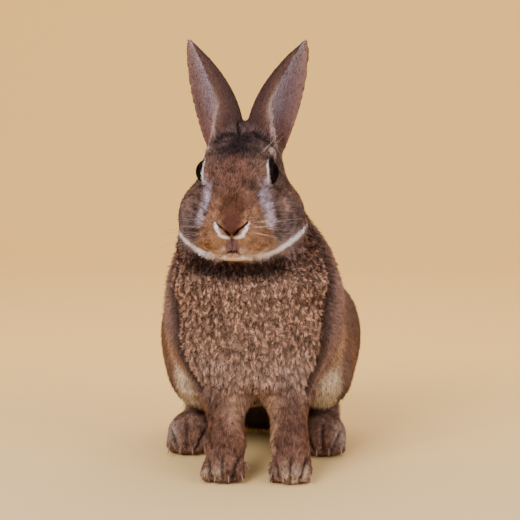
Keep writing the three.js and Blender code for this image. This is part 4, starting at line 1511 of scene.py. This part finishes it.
def finish_tufts(mesh):
    """Keeps the tufts off the floor, paints them and lays each one's patch on the bake map."""
    places = points_of(mesh)
    places[:, 2] = np.maximum(places[:, 2], FLOOR_GAP)
    put_points(mesh, places)
    fields = mesh.attributes
    place = read(fields[BAKE_MAP].data, "vector", width=2)
    patch = read(fields["patch"].data, "vector", width=3)[:, :2]
    roots = read(fields["root"].data, "vector", width=3) / MM
    given = [read(fields[name].data, "value") for name in TUFT_FIELDS]
    colours = ticked(read(fields["coat"].data, "color", width=4)[:, :3], roots, *given)
    for name in [field.name for field in fields]:
        if name not in FIELDS_KEPT and not name.startswith("."):
            fields.remove(fields[name])
    store_coat(mesh, colours)
    spots = (place + (patch - 0.5) * PATCH)[read(mesh.loops, "vertex_index", np.int32)]
    layer = mesh.uv_layers.new(name=BAKE_MAP)
    layer.uv.foreach_set("vector", np.ascontiguousarray(spots.clip(0, 1), np.float32).ravel())


# %% [markdown]
# ## The coat
# Each piece is grown from the skin by the same tree with its own tuft, ruffle and seed, and made a plain
# mesh, because the model is handed over without modifiers.

# %% Grow the pieces
PLUSH_PIECES = ("ruff", "chest", "chest_low", "scut")
RUFFLE = {"face": 0.25, "crown": 0.25, "ears": 0.2, "chest": 0.5, "chest_low": 0.4, "ruff": 0.4,
          "scut": 0.4, "back": 0.22, "flank_left": 0.22, "flank_right": 0.22, "haunches": 0.22,
          "forelegs": 0.3, "feet": 0.3}
LOCK_SIZE, LOCK_PULL, LOCK_STRAY = 3.2, 0.9, 1.3
FIRST_SEED, SEED_STRIDE = 11, 5


def grown(index, name):
    """One piece of the coat as a plain mesh object."""
    carrier = new_object("carrier", skin_mesh)
    modifier = carrier.modifiers.new("coat", "NODES")
    modifier.node_group = COAT.group
    values = {"Tuft": PLUSH if name in PLUSH_PIECES else SHORT, "Piece": index,
              "Seed": FIRST_SEED + SEED_STRIDE * index, "Ruffle": RUFFLE[name],
              "Lock_Size": LOCK_SIZE * MM, "Lock_Pull": LOCK_PULL, "Lock_Stray": LOCK_STRAY,
              "Material": fur}
    for key, value in values.items():
        modifier[COAT.sockets[key]] = value
    mesh = result_of(carrier)
    mesh.name = f"coat_{name}"
    finish_tufts(mesh)
    print(f"{mesh.name}: {len(mesh.polygons)} triangles")
    return new_object(mesh.name, mesh)


coat_pieces = [grown(index, name) for index, name in enumerate(PIECES)]

# %% [markdown]
# ## Eyes
# A rabbit's eye is a large, dark, wet ball with a wide pupil and a slightly raised, clear cornea. It is
# turned on the axis of the lids' opening, so the profile is spun there. The distance from that axis is
# kept on each point, and the material colours pupil, iris and white by it.

# %% Eyeballs
CORNEA_ANGLE, CORNEA_RISE = 44.0, 0.3
EYE_RINGS, EYE_SEGMENTS = 47, 56


def eyeball(side):
    """One eyeball, spun round the axis of its lids; side is 1 for the left."""
    angles = np.linspace(0, math.pi, EYE_RINGS + 2)[1:-1]
    turns = np.arange(EYE_SEGMENTS) / EYE_SEGMENTS * math.tau
    axis = np.array((math.cos(LOOK_FORWARD), -math.sin(LOOK_FORWARD), math.sin(LOOK_UP)))
    axis /= np.linalg.norm(axis)
    first = unit(np.cross(axis, (0, 0, 1.0)))
    second = np.cross(axis, first)
    ball = EYE_RADIUS + CORNEA_RISE * np.exp(-((np.degrees(angles) / CORNEA_ANGLE) ** 4))
    ring = np.cos(turns)[:, None] * first + np.sin(turns)[:, None] * second
    along, out = np.cos(angles)[:, None, None], np.sin(angles)[:, None, None]
    places = ball[:, None, None] * (along * axis + out * ring[None])
    poles = np.array((axis * (EYE_RADIUS + CORNEA_RISE), -axis * EYE_RADIUS))
    places = (np.vstack((places.reshape(-1, 3), poles)) + EYE_PLACE) * (side, 1, 1)
    mesh = closed_mesh("eyeball", from_head(places), capped_tube(EYE_RINGS, EYE_SEGMENTS))
    store(mesh, "gaze", "FLOAT", np.append(np.repeat(np.degrees(angles), EYE_SEGMENTS), (0, 180)))
    return mesh


eyes = {side: new_object(f"eyeball_{side}", eyeball(sign)) for side, sign in (("left", 1), ("right", -1))}
print(f"eyes: {len(eyes)} of {2 * EYE_RADIUS:.0f} mm")

# %% [markdown]
# ## Finish of the eyes
# The iris is nearly as dark as the pupil. The wet film is a thin, very smooth coat, which is what gives
# the small sharp highlight.

# %% Eye material
STREAKS, STREAK_DEGREES, WHOLE_GAZE = 900.0, 8.0, 90.0
EYE_STOPS = ((0.0, paint(5, 4, 5)), (0.40, paint(6, 5, 6)), (0.46, paint(24, 15, 11)),
             (0.60, paint(17, 11, 9)), (0.70, paint(8, 6, 6)), (1.0, paint(30, 23, 21)))


def eye_material():
    material, tree, shader = new_material("wet_eye", 0.4)
    gaze = add_node(tree, "ShaderNodeAttribute", attribute_name="gaze")
    jitter = unsettled(tree, gaze.outputs["Fac"], object_noise(tree, STREAKS), STREAK_DEGREES)
    share = add_node(tree, "ShaderNodeMath", operation="DIVIDE")
    share.inputs[1].default_value = WHOLE_GAZE
    join(tree, jitter, share.inputs[0])
    colour_by(tree, shader, share.outputs[0], *EYE_STOPS)
    shader.inputs["Specular IOR Level"].default_value = 0.0
    shader.inputs["Coat Weight"].default_value = 0.045
    shader.inputs["Coat Roughness"].default_value = 0.03
    return material


wet_eye = eye_material()
for eye in eyes.values():
    eye.data.materials.append(wet_eye)
print(f"eyes: coloured from pupil to white in {len(EYE_STOPS)} steps")

# %% [markdown]
# ## Claws
# A rabbit's claws are curved horn, dark at the root and paler at the point, and mostly hidden in the
# hair of the toes. Each is lofted along an arc from the root of its solid to its tip.

# %% Claw shape
CLAW_RINGS, CLAW_SIDES = 8, 12
CLAW_SAG, CLAW_FLATTEN, CLAW_INSIDE = 0.10, 0.72, 3.5


def claw_mesh(name):
    """A smooth, curved claw in the place of a faceted one."""
    solid = points_of(frame["nodes"][name].data)
    middle = solid.mean(0)
    tip = solid[np.argmax(np.linalg.norm(solid - middle, axis=1))]
    far = np.linalg.norm(solid - tip, axis=1)
    root_ring = solid[far > 0.75 * far.max()]
    root = root_ring.mean(0)
    radius = np.linalg.norm(root_ring - root, axis=1).mean()
    root = root - unit(tip - root) * CLAW_INSIDE
    along = tip - root
    across = unit(np.cross((0, 0, 1.0), along))
    over = unit(np.cross(along, across))
    if over[2] < 0:
        over = -over
    t = np.linspace(0, 1, CLAW_RINGS + 1)[:-1, None, None]
    turns = (np.arange(CLAW_SIDES) / CLAW_SIDES * math.tau)[None, :, None]
    spine = root + t * along + over * (CLAW_SAG * 4 * t * (1 - t) * np.linalg.norm(along))
    width = radius * (1 - t) ** 0.7
    places = spine + width * (np.cos(turns) * across * CLAW_FLATTEN + np.sin(turns) * over)
    places = np.vstack((places.reshape(-1, 3), [root, tip]))
    mesh = closed_mesh(name, places, capped_tube(CLAW_RINGS, CLAW_SIDES))
    store(mesh, "reach", "FLOAT", np.append(np.repeat(t[:, 0, 0], CLAW_SIDES), (0, 1)))
    return mesh


claws = {name: new_object(f"{name}_horn", claw_mesh(name)) for name in CLAW_NODES}
print(f"claws: {len(claws)}")


# %% Horn
def horn_material():
    material, tree, shader = new_material("claw_horn", 0.42)
    reach = add_node(tree, "ShaderNodeAttribute", attribute_name="reach")
    grown_at = unsettled(tree, reach.outputs["Fac"], object_noise(tree, 700.0), 0.25)
    colour_by(tree, shader, grown_at, (0.0, paint(92, 70, 60)), (1.0, paint(148, 122, 104)))
    return material


horn = horn_material()
for claw in claws.values():
    claw.data.materials.append(horn)
print("horn: dark at the root, pale at the point")

# %% [markdown]
# ## Whiskers
# Whiskers grow in rows from the tan pads, sweep out and back, and droop a little at their fine tips. A
# few stand over each eye. Each is a tapering four-sided hair along an arc, and all are one mesh.

# %% Where the whiskers run
WHISKER_RINGS = 14
WHISKER_ROOT_RADIUS, BROW_ROOT_RADIUS = 0.085, 0.09
WHISKER_SWEEP = 0.22
PAD_ROWS = ((200.5, 7), (197.0, 7), (193.0, 6), (189.0, 5))
BROW_ROOTS = ((19.0, 17.0, 250.0), (21.0, 20.0, 251.5), (24.5, 24.0, 251.0))


def whisker_line(root, aim, length, droop):
    """An arc of places from root along aim that droops and sweeps back towards its tip."""
    t = np.linspace(0, 1, WHISKER_RINGS + 1)[:, None]
    bow = t**2 * np.array((0, WHISKER_SWEEP, -droop))
    return np.array(root) + length * (t * unit(np.array(aim, float)) + bow)


def face_hairs():
    """Lines and radii of every whisker, in the head's frame, on the animal's left."""
    chance = np.random.default_rng(31)
    lines = []
    for height, count in PAD_ROWS:
        for n in range(count):
            back = n / (count - 1)
            root = (13.5 + 11 * back, -3.5 + 12 * back**1.5, height - 2 * back + chance.uniform(-0.6, 0.6))
            aim = (1.0, -0.35 + 0.55 * back + chance.uniform(-0.12, 0.12),
                   0.03 * (height - 195) + chance.uniform(-0.1, 0.1))
            lines.append((whisker_line(root, aim, chance.uniform(26, 50), chance.uniform(0.1, 0.3)),
                          WHISKER_ROOT_RADIUS * chance.uniform(0.7, 1.0)))
    for root in BROW_ROOTS:
        aim = (0.75, 0.1 + chance.uniform(-0.2, 0.2), 0.8)
        lines.append((whisker_line(root, aim, chance.uniform(16, 26), -0.05), BROW_ROOT_RADIUS))
    return lines


print(f"whiskers: {2 * len(face_hairs())} hairs")

# %% Whisker hairs
WHISKER_SIDES = 4


def hair_along(places, radius):
    """Points and faces of a tapering hair along a line of places."""
    along = unit(np.gradient(places, axis=0))
    across = unit(np.cross(along, (0.13, 0.24, 0.96)))
    over = np.cross(along, across)
    t = np.linspace(0, 1, len(places))[:-1, None, None]
    turns = (np.arange(WHISKER_SIDES) / WHISKER_SIDES * math.tau)[None, :, None]
    ring = np.cos(turns) * across[:-1, None] + np.sin(turns) * over[:-1, None]
    points = np.vstack(((places[:-1, None] + radius * (1 - t) * ring).reshape(-1, 3), places[-1:]))
    rows = len(places) - 1
    tip, last = rows * WHISKER_SIDES, (rows - 1) * WHISKER_SIDES
    faces = rows_of_quads(rows, WHISKER_SIDES)
    faces += [(last + n, last + (n + 1) % WHISKER_SIDES, tip) for n in range(WHISKER_SIDES)]
    faces.append(tuple(reversed(range(WHISKER_SIDES))))
    return points, faces


def whiskers_mesh():
    points, faces, total = [], [], 0
    for side in (1, -1):
        for line, radius in face_hairs():
            some_points, some_faces = hair_along(line * (side, 1, 1), radius)
            faces += [tuple(total + corner for corner in face) for face in some_faces]
            points.append(some_points)
            total += len(some_points)
    return closed_mesh("whiskers", from_head(np.vstack(points)), faces)


def whisker_material():
    material, tree, shader = new_material("whisker", 0.4)
    patches = object_noise(tree, 55.0)
    colour_by(tree, shader, patches, (0.42, paint(60, 44, 38)), (0.58, paint(206, 188, 172)))
    return material


whiskers = new_object("whiskers", whiskers_mesh())
whiskers.data.materials.append(whisker_material())
print(f"whiskers: {len(whiskers.data.polygons)} faces")

# %% [markdown]
# ## Dress the model
# Between the hairs the skin lies in their shade, so its own paint is darker than the coat's, and
# darkest under the deep plush. The skin takes the place of every solid of flesh, and the eyes and
# claws take the places of theirs.

# %% Paint the skin under the coat
HIDE_SHADE, UNDER_BIB = 0.72, 0.4
skin_mesh.attributes.remove(skin_mesh.attributes["coat"])
store_coat(skin_mesh, coat * (HIDE_SHADE * (1 - UNDER_BIB * bib))[:, None])
skin_mesh.shade_smooth()
skin = new_object("skin", skin_mesh)
skin.data.materials.append(hide)
print(f"skin: {len(skin_mesh.polygons)} faces in the shade of the coat")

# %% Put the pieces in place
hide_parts(*FLESH)
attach(skin, "root")
for piece in coat_pieces:
    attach(piece, "root")

for side_name, eye in eyes.items():
    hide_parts(f"eye_{side_name}")
    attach(eye, "root")
for name, claw in claws.items():
    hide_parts(name)
    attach(claw, "root")
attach(whiskers, "root")
print(f"dressed: {len(coat_pieces) + len(eyes) + len(claws) + 2} pieces")
